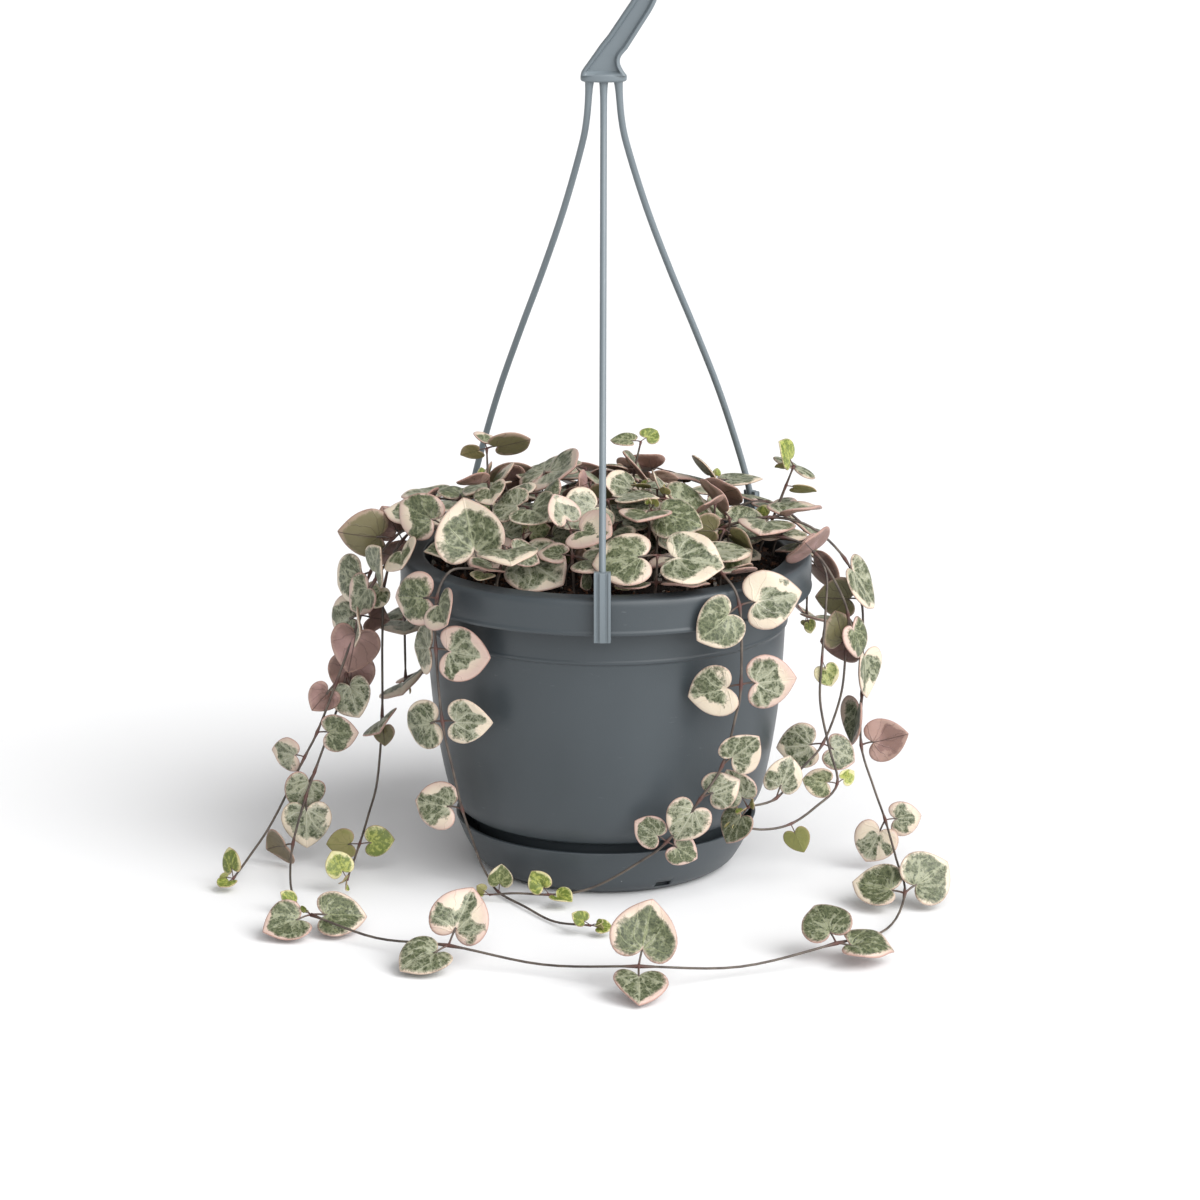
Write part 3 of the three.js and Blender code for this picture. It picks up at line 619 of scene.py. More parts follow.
class Draws:
    """Repeatable random numbers between two limits."""

    FACTOR, PRIME = 16807, 2 ** 31 - 1

    def __init__(self, seed):
        self.state = seed

    def __call__(self, low, high):
        self.state = self.state * self.FACTOR % self.PRIME
        return low + (high - low) * self.state / self.PRIME


class Leaf:
    """A leaf at a point of its stem. It faces the way that turn and tilt say, and its tip points
    the way that clock says to someone who looks at its face."""

    def __init__(self, at, length, clock, turn, tilt, fold):
        turn, tilt, clock = math.radians(turn), math.radians(tilt), math.radians(clock)
        side = np.array([math.cos(turn), math.sin(turn), 0])
        self.face = np.array([
            math.cos(tilt) * math.sin(turn), -math.cos(tilt) * math.cos(turn), math.sin(tilt),
        ])
        up = np.cross(self.face, side)
        self.along = side * math.sin(clock) + up * math.cos(clock)
        self.across = np.cross(self.along, self.face)
        self.at, self.length, self.fold = np.array(at, float), length, fold
        self.stalk = STALK_SPARE + STALK_SHARE * length

    def spot(self, places):
        """Points of the leaf from their places on the heart."""
        places = np.atleast_2d(places)
        return (
            self.at + np.outer(self.stalk + places[:, 1] * self.length, self.along)
            + np.outer(places[:, 0] * self.length, self.across)
            + np.outer(abs(places[:, 0]) * self.fold * self.length, self.face)
        )


class Body:
    """What the clearance test knows of a blade or of a piece of a rod."""

    def __init__(self, corners, directions, thickness):
        self.corners, self.directions = np.array(corners), np.array(directions)
        self.thickness = thickness
        self.centre = self.corners.mean(0)
        self.reach = np.linalg.norm(self.corners - self.centre, axis=1).max() + thickness


def rod_body(start, end, thickness):
    run = np.array(end) - start
    return Body([start, end], [run / np.linalg.norm(run)], thickness)


def leaf_bodies(leaf):
    """The blade, and the stalk from half-way along it."""
    diagonals = [(leaf.along + sign * leaf.across) / math.sqrt(2) for sign in (1, -1)]
    directions = [leaf.along, leaf.across, leaf.face, *diagonals]
    stalk_start = leaf.spot((0, -0.5 * leaf.stalk / leaf.length))[0]
    return [
        Body(leaf.spot(heart_corners), directions, crowd.blade_thickness / 2),
        rod_body(stalk_start, leaf.spot(NOTCH)[0], 0.5),
    ]


def are_clear(one, other, gap):
    """Whether some direction shows a gap between two bodies."""
    between = other.centre - one.centre
    apart = np.linalg.norm(between)
    if apart > one.reach + other.reach + gap:
        return True
    crossed = np.cross(one.directions[:, None], other.directions[None]).reshape(-1, 3)
    lengths = np.linalg.norm(crossed, axis=1)
    crossed = crossed[lengths > 0.05] / lengths[lengths > 0.05][:, None]
    axes = np.vstack([one.directions, other.directions, between[None] / apart, crossed])
    ones, others = axes @ one.corners.T, axes @ other.corners.T
    gaps = np.maximum(ones.min(1) - others.max(1), others.min(1) - ones.max(1))
    return bool((gaps >= one.thickness + other.thickness + gap).any())


class Crowd:
    """All the bodies so far, with their places at hand for a quick first test, and how thick a
    blade is and how much room it needs."""

    def __init__(self, blade_thickness, gap):
        self.blade_thickness, self.gap = blade_thickness, gap
        self.bodies, self.centres, self.reaches = [], np.empty((4000, 3)), np.empty(4000)

    def add(self, *bodies):
        for body in bodies:
            self.centres[len(self.bodies)] = body.centre
            self.reaches[len(self.bodies)] = body.reach
            self.bodies.append(body)

    def clears(self, body, gap, but=()):
        count = len(self.bodies)
        apart = np.linalg.norm(self.centres[:count] - body.centre, axis=1)
        near = np.nonzero(apart <= self.reaches[:count] + body.reach + gap)[0]
        others = (self.bodies[index] for index in near)
        return all(other in but or are_clear(body, other, gap) for other in others)


# Heights and radii of the outside of the saucer and the wall.
outer_wall = [
    (0, 52.4), (21, 52.4), (20.6, 50.7), (25, 53.7), (33, 55.7), (56, 59.4), (84.6, 61.3), (85.4, 61.9),
]


def wall_radius(height):
    for (low, inner), (high, outer) in zip(outer_wall, outer_wall[1:]):
        if height <= high:
            return inner + (outer - inner) * (height - low) / max(high - low, 0.1)
    return outer_wall[-1][1]


def clears_pot(point):
    """Whether a point is well outside the pot and above the soil and the surface."""
    height, radius = point[2], math.hypot(point[0], point[1])
    if height < POT_GAP:
        return False
    if height < RIM_BOTTOM - POT_GAP:
        return radius > wall_radius(height) + POT_GAP
    if radius < 60.5 - POT_GAP:
        return height > soil_height(radius) + POT_GAP
    return radius > RIM_RADIUS + POT_GAP or height > RIM_TOP + POT_GAP


# Places spread over the heart, for the test against the pot.
heart_shares = np.vstack([
    [(across * share, 0.4 + (along - 0.4) * share) for share in (0.35, 0.7, 1)]
    for across, along in [*heart_corners, NOTCH]
])


def leaf_is_clear(leaf, stem):
    if not all(clears_pot(point) for point in leaf.spot(heart_shares)):
        return False
    return all(crowd.clears(body, crowd.gap, stem.rods) for body in leaf_bodies(leaf))


class Stem:
    """A stem that rises from the soil and runs through the points of its route."""

    def __init__(self, name, root, points, steps_per_span):
        x, y = root
        ground = soil_height(math.hypot(x, y))
        lean = 0.12
        start = [
            (x, y, ground - ROOT_DEPTH), (x, y, ground - 1),
            (x + (points[0][0] - x) * lean, y + (points[0][1] - y) * lean, ground + 4),
        ]
        self.name, self.points, self.route = name, points, [*start, *points]
        line = smooth_route(self.route, (len(self.route) - 1) * steps_per_span)
        self.rods = rods_along(line, STEM_RADIUS)
        self.leaves = []


def grow_leaf(stem, at, length, clock, turn, tilt, draw, attempts):
    """Grows a leaf that is near the one asked for, if it finds room."""
    for attempt in range(attempts):
        stray = attempt * TRY_SWING
        leaf = Leaf(
            at, length * (1 - attempt * 0.01), clock + draw(-stray, stray), turn + draw(-stray, stray),
            tilt + draw(-stray, stray) / 2, draw(0.02, 0.22),
        )
        if leaf_is_clear(leaf, stem):
            crowd.add(*leaf_bodies(leaf))
            stem.leaves.append(leaf)
            return


def grow_pair(stem, at, length, draw, attempts, swing=40, flattest=38):
    """Two leaves on opposite sides of a stem, which face away from the pot or the sky."""
    outward = math.degrees(math.atan2(at[0], -at[1]))
    quarter = draw(50, 115)
    for hand in (1, -1):
        turn = outward + draw(-swing, swing)
        size = length * draw(0.9, 1.1)
        grow_leaf(stem, at, size, 180 - hand * quarter, turn, draw(flattest, 96), draw, attempts)


def rods_along(line, radius):
    return [rod_body(start, end, radius) for start, end in zip(line, line[1:])]


plant = []
crowd = Crowd(blade_thickness=1, gap=0.35)
for index, angle in enumerate(CLIP_ANGLES):
    crowd.add(*rods_along(smooth_route(strand_points(index), 18), STRAND_RADIUS))
    turn = math.radians(angle)
    foot_x, foot_y = (CLIP_FACE - 1) * math.cos(turn), (CLIP_FACE - 1) * math.sin(turn)
    ends = (foot_x, foot_y, RIM_BOTTOM - 1.5), (foot_x, foot_y, CLIP_TOP)
    crowd.add(rod_body(*ends, CLIP_WIDTH / 2 + 0.8))


def keep_stem(stem):
    plant.append(stem)
    crowd.add(*stem.rods)


# ---------------------------------------------------------------- trailing stems
# The long stems leave the soil, arch over the rim and hang down to the surface, where they
# run on. Each line gives a stem's root, how many of its first points bear a grown pair, the
# points of its route in mm, and its other leaves as (point, length, clock, turn, tilt).
trailing_stems = [
    ("vine_front_left", (-18, -31), 1, [
        (-31, -37, 117), (-42, -42, 113), (-51, -45, 112.5), (-55.5, -48, 104), (-56, -48.5, 87),
        (-54, -51, 63), (-50.5, -50, 45), (-48, -45.5, 31), (-45, -35.5, 17), (-43, -33.5, 10),
        (-40, -35, 4), (-36, -44, 1.2), (-27, -58, 1), (-17, -73, 1), (-5, -84, 3.5),
    ], [
        (1, 19, 345, -8, 18), (3, 15, 262, -40, 8), (3, 14, 95, -35, 45), (4, 14, 258, -66, 5),
        (4, 16.5, 99, 5, 0), (5, 14, 252, -40, 0), (5, 14.5, 108, 5, 0), (7, 13, 275, -15, 10),
        (11, 7, 5, -5, 5), (14, 5, 310, 10, 45), (14, 5, 100, 0, 60),
    ]),
    ("vine_front_right", (20, -24), 1, [
        (30, -40, 117), (38, -54, 113.5), (43.3, -59.3, 104.5), (44, -60, 78), (42, -61, 66),
        (38, -62, 51), (31, -63, 40), (20, -62.5, 25), (11, -59.5, 17), (-1, -56, 8.5), (-10, -55, 5),
        (-19, -54, 3.8), (-30, -52, 3.6), (-39, -50, 2.4),
    ], [
        (2, 15.5, 250, -5, 10), (2, 17, 82, 8, 8), (3, 14, 255, -8, 0), (3, 14.5, 85, 8, 0),
        (5, 12, 50, 5, 0), (6, 13, 210, -5, 5), (6, 11, 60, 0, 10), (7, 9.5, 300, -10, 10),
        (7, 10, 120, 5, 5), (11, 7, 320, -10, 20), (11, 7, 130, 10, 65),
    ]),
    ("vine_sweep", (26, -5), 2, [
        (40, -9, 119), (55, -12, 123), (69, -9, 119), (81, -5, 107), (87, -2, 92), (88, 0, 76),
        (88, 0, 58), (88, -1, 40), (92, -7, 27), (95.5, -17, 18), (98, -35, 10), (99, -59, 6),
        (91, -86, 3), (73, -111, 7), (42, -123, 3.5), (10, -135, 8), (-20, -121, 3.5), (-50, -113, 7),
        (-74, -96, 3.5), (-96, -82, 6.5),
    ], [
        (3, 17, 165, 60, 20), (4, 13, 60, 200, 10), (5, 15, 182, 62, 5), (5, 14, 110, 150, 5),
        (6, 15, 180, -60, 5), (7, 13, 285, 178, 0), (7, 12, 75, 225, 5), (9, 12.5, 203, -12, 8),
        (9, 11, 128, 40, 0), (11, 16, 75, 10, 30), (11, 15, 268, -5, 48), (13, 16, 135, 20, 58),
        (13, 15, 327, -15, 58), (13, 5, 40, 40, 0), (15, 17, 12, 0, 25), (15, 15, 195, 0, 62),
        (17, 16, 22, 0, 28), (17, 15, 225, 0, 62), (19, 14, 250, 0, 55), (19, 15, 108, 0, 58),
    ]),
    ("vine_right", (30, -15), 1, [
        (45, -21, 117), (59, -24, 119), (70, -20, 112.5), (77, -17, 102), (82, -11, 89),
        (81.5, -10, 76), (80, -10, 60), (74, -13, 44), (66, -26, 39), (57, -40, 33), (47, -50, 33),
    ], [
        (4, 15, 165, 55, 10), (5, 14, 205, 200, 5), (5, 12, 20, 190, 10), (7, 13, 268, -15, 5),
        (7, 12.5, 165, 28, 0), (9, 11.5, 20, 15, 0), (10, 11, 330, -5, 5), (10, 12, 240, 0, 10),
    ]),
    ("vine_loop", (36, 4), 1, [
        (50, -1, 113), (66, -6, 113), (74, -10, 104.5), (74, -17, 92), (72.5, -25, 77), (72, -27, 63),
        (75, -28.5, 48), (78, -30, 35), (70.5, -34, 28), (62, -38.5, 23.5), (53, -43, 23),
        (44, -47.5, 25.5),
    ], [
        (4, 7, 160, 0, 10), (7, 9, 285, -10, 5), (7, 5, 60, 20, 10), (9, 8, 205, 170, 5),
    ]),
    ("vine_left_inner", (-27, 4), 1, [
        (-42, 2, 119), (-57, -1, 121), (-69, -3, 113), (-75, -2, 99), (-76.5, 0, 78), (-77, 0, 50),
        (-79, 0, 27), (-81.5, -10, 18), (-84, -22, 11), (-87, -42, 5),
    ], [
        (2, 12, 36, 240, 15), (3, 8, 204, -20, 5), (5, 12, 93, -90, 50), (5, 9, 186, 178, 0),
        (8, 9, 95, 165, 5), (8, 9, 85, 5, 5), (9, 8, 335, 10, 20), (9, 9, 240, 0, 72),
    ]),
    ("vine_left_cluster", (-31, -8), 1, [
        (-45, -9, 118), (-60, -9, 121), (-72, -7, 114.5), (-80, -4, 102), (-84, -1, 86),
        (-86.5, 0, 74), (-89, 0, 65), (-92, -1, 54), (-100.1, -6.9, 32), (-103, -9, 24), (-107, -19, 10),
        (-106, -42, 3.5), (-102, -60, 1.2),
    ], [
        (2, 17, 87, 140, 5), (3, 14, 246, -50, 5), (4, 14, 249, -45, 5), (4, 13, 229, 208, 5),
        (5, 14, 174, 178, 5), (6, 13, 147, 10, 5), (8, 12, 198, -5, -6), (9, 14, 180, 5, 12),
        (10, 14, 120, 182, 0), (12, 6, 320, 40, 30),
    ]),
    ("vine_left_outer", (-24, -26), 1, [
        (-38, -24, 119), (-54, -21, 122), (-68, -16, 114), (-78, -11, 101), (-84, -8, 86),
        (-92, -7, 64), (-99, -6, 46), (-103.5, -5.5, 37), (-115, -6, 14), (-122, -16, 5), (-126, -35, 3),
    ], [
        (3, 14, 16, -60, 0), (3, 13, 231, -58, 5), (4, 15, 168, 178, 5), (4, 12, 108, -78, 5),
        (5, 14, 141, 180, 5), (6, 13, 69, 5, 5), (7, 12, 222, -5, 5), (10, 8, 335, -45, 10),
        (10, 7, 200, -20, 60),
    ]),
]

# Shorter stems hang down the back: angle round the pot, distance of the root, lowest height.
hanging_stems = [
    ("vine_back_1", 20, 30, 58), ("vine_back_2", 84, 34, 34), ("vine_back_3", 157, 36, 52),
]


def hanging_route(angle, distance, lowest, draw):
    """Up from the root, over the rim and down the wall."""
    def at(radius, height):
        swing = math.radians(angle + draw(-3, 3))
        return (radius * math.cos(swing), radius * math.sin(swing), height)

    points = [at(distance + 15, 120), at(distance + 29, 121), at(72, 112.5), at(75, 100)]
    height = 78
    while height > lowest:
        points.append(at(draw(74, 77), height))
        height -= 22
    return points


draw = Draws(1000)
for name, root, _, points, _ in trailing_stems:
    keep_stem(Stem(name, root, points, 2))
for name, angle, distance, lowest in hanging_stems:
    turn = math.radians(angle)
    route = hanging_route(angle, distance, lowest, draw)
    keep_stem(Stem(name, (distance * math.cos(turn), distance * math.sin(turn)), route, 1))
for stem, (*_, leaves) in zip(plant, trailing_stems):
    for point, *placing in leaves:
        grow_leaf(stem, stem.points[point], *placing, draw, 16)
for stem, (_, _, pairs, *_) in zip(plant, trailing_stems):
    for at in stem.points[:pairs]:
        grow_pair(stem, at, 16, draw, 14)
for stem in plant[len(trailing_stems):]:
    for at in stem.points[1:]:
        grow_pair(stem, at, draw(12, 17), draw, 14)
vines = list(plant)


# ---------------------------------------------------------------- shoots of the mound
# Short shoots fill the pot, spread by the golden angle. They stand nearly upright and arch away
# from the middle. Their pairs of leaves make the layers of the mound, with young leaves below.
SHOOTS = 24
GOLDEN_TURN = 137.5
MOUND_TOP = 137
MOUND_FALL = 18


def mound_height(radius):
    return MOUND_TOP - MOUND_FALL * (radius / RIM_RADIUS) ** 2


def spiral_root(index, count, widest, start, stray, draw):
    """A root's x and y, spread evenly over the soil but for a little chance."""
    spread = widest * math.sqrt((index + 0.5) / count)
    angle = math.radians(GOLDEN_TURN * index + start)
    return (
        spread * math.cos(angle) + draw(-stray, stray), spread * math.sin(angle) + draw(-stray, stray),
    )


def leaning_point(root, bend, reach, height):
    return (root[0] + reach * math.cos(bend), root[1] + reach * math.sin(bend), height)


def shoot_route(index, draw):
    """A root and the points that bear leaves, from the lowest to the top of the mound."""
    root = spiral_root(index, SHOOTS, 56, 0, 5, draw)
    bend = math.radians(GOLDEN_TURN * index + draw(-70, 70))
    lean = draw(0.1, 0.6)
    ground = soil_height(math.hypot(*root))
    points = []
    height = mound_height(math.hypot(*root)) - draw(2, 8)
    while height > ground + 7:
        points.insert(0, leaning_point(root, bend, lean * (height - ground), height))
        height -= 9.5 * draw(0.85, 1.15)
    return root, points


draw = Draws(555)
shoots = []
for index in range(SHOOTS):
    for attempt in range(60):
        root, points = shoot_route(index, draw)
        stem = Stem(f"shoot_{index + 1}", root, points, 1)
        if all(crowd.clears(rod, 1) for rod in stem.rods):
            keep_stem(stem)
            shoots.append(stem)
            break
for layer in (1, 2):
    for stem in shoots:
        if layer <= len(stem.points):
            grow_pair(stem, stem.points[-layer], draw(13, 18), draw, 40)
leafy = [stem for stem in plant if stem.leaves]


# ---------------------------------------------------------------- young shoots and buds
# Short young shoots with smaller leaves fill the gaps of the mound, and three thin tips stand
# clear of it. More small leaves stand low on the stems, and the stems end in buds.
YOUNG_SHOOTS = 90
young_random = Draws(5150)
young_stems = []

# Each tip: its root, the points of its route, and its leaves as above.
tall_tips = [
    ((-37, -6), [(-38, -7, 120), (-39.5, -8, 134), (-40, -9, 146)],
     [(2, 12, 292, 185, 45), (2, 7, 110, 175, 40), (1, 10, 70, 200, 60)]),
    ((52, 2), [(57, 2, 120), (61, 1, 131), (63.5, 0, 138)],
     [(2, 9, 325, 62, 10), (2, 5, 60, 190, 40), (1, 8, 250, 170, 60)]),
    ((6, 14), [(8, 15, 122), (10, 16, 134), (12, 17, 143)],
     [(2, 6, 60, 20, 50), (2, 8, 275, -10, 75), (1, 11, 90, 150, 60)]),
]


def grow_tall_tips(draw):
    """Thin tips that stand clear of the mound, each with three small leaves."""
    for number, (root, points, leaves) in enumerate(tall_tips):
        stem = Stem(f"tip_{number + 1}", root, points, 1)
        crowd.add(*stem.rods)
        young_stems.append(stem)
        for point, *placing in leaves:
            grow_leaf(stem, points[point], *placing, draw, 30)


def young_shoot(index, root, draw):
    """A thin shoot with one to four points that bear leaves."""
    radius = math.hypot(*root)
    ground = soil_height(radius)
    bend, lean = math.radians(draw(0, 360)), draw(0, 0.45)
    height, points = ground + draw(6, 9), []
    while height < mound_height(radius) - 1:
        points.append(leaning_point(root, bend, lean * (height - ground), height))
        height += draw(6, 10)
    stem = Stem(f"young_{index + 1}", root, points[:int(draw(1, 4.9))], 1)
    stem.rods = [Body(rod.corners, rod.directions, 0.4) for rod in stem.rods]
    return stem


def grow_young_shoots(draw):
    """Young shoots, but not right at the edge or behind the front of the rim."""
    for index in range(YOUNG_SHOOTS):
        for attempt in range(8):
            root = spiral_root(index, YOUNG_SHOOTS, 58.5, 60, 3, draw)
            if math.hypot(*root) > 58 or root[1] < -47:
                continue
            stem = young_shoot(index, root, draw)
            if all(crowd.clears(rod, 0.1) for rod in stem.rods):
                crowd.add(*stem.rods)
                young_stems.append(stem)
                break


def grow_young_leaves(draw):
    """Small leaves that may face any way, from the top down."""
    for stem in reversed(leafy):
        for at in reversed(stem.points if stem in shoots else stem.points[:3]):
            grow_pair(stem, at, draw(10, 16), draw, 14, 180, 8)
    for sweep in range(2):
        for stem in young_stems:
            for at in reversed(stem.points):
                grow_pair(stem, at, draw(10, 16) if sweep == 0 else draw(7, 11), draw, 14, 180, -8)


def grow_buds(draw):
    """A pair of tiny leaves, back to back, that point the way the stem runs."""
    for stem in [*vines, *shoots[::5]]:
        line = smooth_route(stem.route, (len(stem.route) - 1) * 6)
        run = (line[-1] - line[-2]) / np.linalg.norm(line[-1] - line[-2])
        tries = [
            Leaf(line[-1], draw(2.6, 4.6), draw(0, 360), draw(-180, 180), draw(-10, 80), 0.35)
            for attempt in range(80)
        ]
        tries.sort(key=lambda leaf: -leaf.along.dot(run))
        best = tries[0]
        pair = [best, next(leaf for leaf in tries if leaf.face.dot(best.face) < -0.2 or leaf is tries[-1])]
        stem.leaves += [leaf for leaf in pair if leaf.spot(heart_corners)[:, 2].min() > 0.6]


crowd.blade_thickness, crowd.gap = 0.8, 0.12
grow_tall_tips(young_random)
grow_young_shoots(young_random)
grow_young_leaves(young_random)
grow_buds(young_random)


# ---------------------------------------------------------------- leaves and stems
# The leaves are thick and waxy, silvery green mottled with dark green round pale veins, and
# have an uneven cream to pink margin. Their undersides are mauve or olive, and the youngest
# are lime green. The stems are thin and purplish brown with swollen nodes.
DEEP_GREEN, MID_GREEN = (0.036, 0.046, 0.018), (0.104, 0.122, 0.058)
SILVER, VEIN_SILVER, VEIN_GREEN = (0.27, 0.28, 0.19), (0.44, 0.44, 0.34), (0.24, 0.265, 0.13)
LIME_DARK, LIME_LIGHT, LIME_CREAM = (0.12, 0.16, 0.025), (0.36, 0.39, 0.09), (0.55, 0.53, 0.24)
CREAM, PEACH, PINK_EDGE = (0.65, 0.56, 0.44), (0.57, 0.42, 0.36), (0.35, 0.2, 0.165)
OLIVE_UNDER, MAUVE_UNDER, DUSTY = (0.145, 0.13, 0.06), (0.21, 0.122, 0.1), (0.42, 0.255, 0.235)
PALE_UNDER, DARK_VEIN, LIME_UNDER = (0.45, 0.31, 0.25), (0.045, 0.022, 0.02), (0.2, 0.21, 0.05)
BARK_DARK, BARK_LIGHT, NODE_RED = (0.055, 0.042, 0.036), (0.12, 0.095, 0.075), (0.1, 0.035, 0.028)
HEART_CENTRE = np.array([0, 0.42])
STALK_END = (0, 0.1)

# The heart is made of rings of vertices round its centre. Its upper and lower faces share the
# outermost ring, so every leaf is one closed shape.
half_outline = smooth_route([
    (0, 0.05), (0.045, -0.03), (0.14, -0.11), (0.27, -0.155), (0.43, -0.13), (0.56, 0), (0.62, 0.19),
    (0.605, 0.39), (0.52, 0.59), (0.375, 0.76), (0.2, 0.885), (0.07, 0.96), (0, 0.99),
], 24)
heart_outline = np.vstack([half_outline, half_outline[-2:0:-1] * [-1, 1]])
around = len(heart_outline)
ring_shares = np.array([1, 0.985, 0.94, 0.86, 0.7, 0.48, 0.24])
rings = len(ring_shares)
face_places = np.vstack([
    *(HEART_CENTRE + (heart_outline - HEART_CENTRE) * share for share in ring_shares), HEART_CENTRE,
])
face_margin = np.append(np.repeat(ring_shares, around), 0)
inner_count = len(face_places) - around
leaf_places = np.vstack([face_places, face_places[around:]])
leaf_margin = np.append(face_margin, face_margin[around:])
leaf_side = np.repeat([0, 1, -1], [around, inner_count, inner_count])


def leaf_faces():
    """Faces over the upper face and then the lower face."""
    faces = []
    for side, centre in ((0, rings * around), (1, len(leaf_places) - 1)):
        columns = [
            [spot] + [ring * around + spot + side * inner_count for ring in range(1, rings)] + [centre]
            for spot in range(around)
        ]
        for here, beside in zip(columns, columns[1:] + columns[:1]):
            for ring in range(rings):
                face = (here[ring], beside[ring], beside[ring + 1], here[ring + 1])
                face = face[:3] if ring == rings - 1 else face
                faces.append(face if side else face[::-1])
    return faces


heart_faces = leaf_faces()
half_faces = len(heart_faces) // 2
looks = np.random.default_rng(77)


def leaf_shape(leaf):
    """The vertices of one leaf with its own width, cup, wave and curl."""
    u, v = leaf_places.T
    lean = looks.normal(0, 0.03)
    width = looks.uniform(0.93, 1.02) * (1 - looks.uniform(-0.05, 0.32) * np.clip(v - 0.3, 0, 1))
    places = np.stack([u * width * (1 + lean * np.sign(u)), v + lean * u], 1)
    centre_v = HEART_CENTRE[1]
    softly = np.sqrt(u ** 2 + 0.012) - 0.11
    spread = (u / 0.6) ** 2 + ((v - centre_v) / 0.6) ** 2
    angle = np.arctan2(u, v - centre_v)
    wave = looks.uniform(0.006, 0.032) * np.sin(looks.integers(2, 5) * angle + looks.uniform(0, 6.3))
    curl = looks.uniform(0, 0.2) * np.clip(v - 0.5, 0, 1) ** 2
    lift = leaf.fold * softly + looks.normal(-0.02, 0.055) * spread + wave * leaf_margin ** 2 - curl
    half = 0.5 * np.clip(0.09 * leaf.length, 0.5, 1.35) * np.sqrt(1 - leaf_margin ** 8)
    groove = 0.3 * np.exp(-(u / 0.05) ** 2) * (leaf_side > 0)
    lift = lift * leaf.length + half * (1 - groove) * leaf_side
    return (
        leaf.at + np.outer(leaf.stalk + places[:, 1] * leaf.length, leaf.along)
        + np.outer(places[:, 0] * leaf.length, leaf.across) + np.outer(lift, leaf.face)
    )


def with_box(verts, faces):
    """A closed shape made ready for the test of what touches what."""
    return verts.min(0), verts.max(0), BVHTree.FromPolygons(verts.tolist(), faces)


pot_corners = np.array([corner.co for corner in pot.data.vertices]) / MM
pot_shape = with_box(pot_corners, [tuple(face.vertices) for face in pot.data.polygons])
settled = [pot_shape]


def touches(verts, others):
    low, high, tree = with_box(verts, heart_faces)
    return any(
        (low <= other_high).all() and (other_low <= high).all() and tree.overlap(other)
        for other_low, other_high, other in others
    )


def settle(leaf, verts, own_stem):
    """Bows a leaf off its own stem, then shrinks it towards its stalk while it touches the pot or
    a leaf that came before it."""
    from_stalk = np.linalg.norm(leaf_places - STALK_END, axis=1)
    bow = np.outer(np.clip(from_stalk / 0.25, 0, 1), leaf.face)
    for lift in (0, 1.1, -1.1, 2.1, -2.1):
        if not touches(verts + lift * bow, [own_stem, pot_shape]):
            verts = verts + lift * bow
            break
    held = leaf.spot(STALK_END)
    for attempt in range(6):
        if not touches(verts, settled):
            break
        verts = held + (verts - held) * 0.93
    settled.append(with_box(verts, heart_faces))
    return verts


def stalk_shape(leaf):
    """A thin bent stalk that ends in the blade."""
    end = leaf.spot(STALK_END)[0] - leaf.face * 0.15
    away = end - leaf.at
    middle = leaf.at + away * 0.45 + np.array([0, 0, 0.1]) * np.linalg.norm(away)
    share = np.linspace(0, 1, 7)[:, None]
    line = (1 - share) ** 2 * leaf.at + 2 * share * (1 - share) * middle + share ** 2 * end
    thick = np.clip(leaf.length / 14, 0.5, 1)
    return rod(line, thick * np.interp(share[:, 0], [0, 0.2, 0.8, 1], [0.46, 0.34, 0.36, 0.48]), 6)


def stem_shape(stem):
    """A stem that thins towards its tip and swells at each pair of leaves."""
    line = smooth_route(stem.route, (len(stem.route) - 1) * 6)
    gone = np.append(0, np.cumsum(np.linalg.norm(np.diff(line, axis=0), axis=1)))
    radii = np.interp(gone, [0, 60, 200], [0.52, 0.44, 0.4])
    radii = np.minimum(radii, 0.28 + (gone[-1] - gone) * 0.02)
    for leaf in stem.leaves:
        apart = np.linalg.norm(line - leaf.at, axis=1)
        radii = np.maximum(radii, 0.3 + 0.4 * np.clip(leaf.length / 13, 0, 1) * np.exp(-(apart / 1.1) ** 2))
    return rod(line, radii, 8)


# What each vertex of a leaf knows: a number of its leaf's own, how near it is to the edge, how
# wide the leaf's cream margin is, its age, how pink it is, and how silvery.
LEAF_TRAITS = ("seed", "margin", "cream", "age", "blush", "silver")


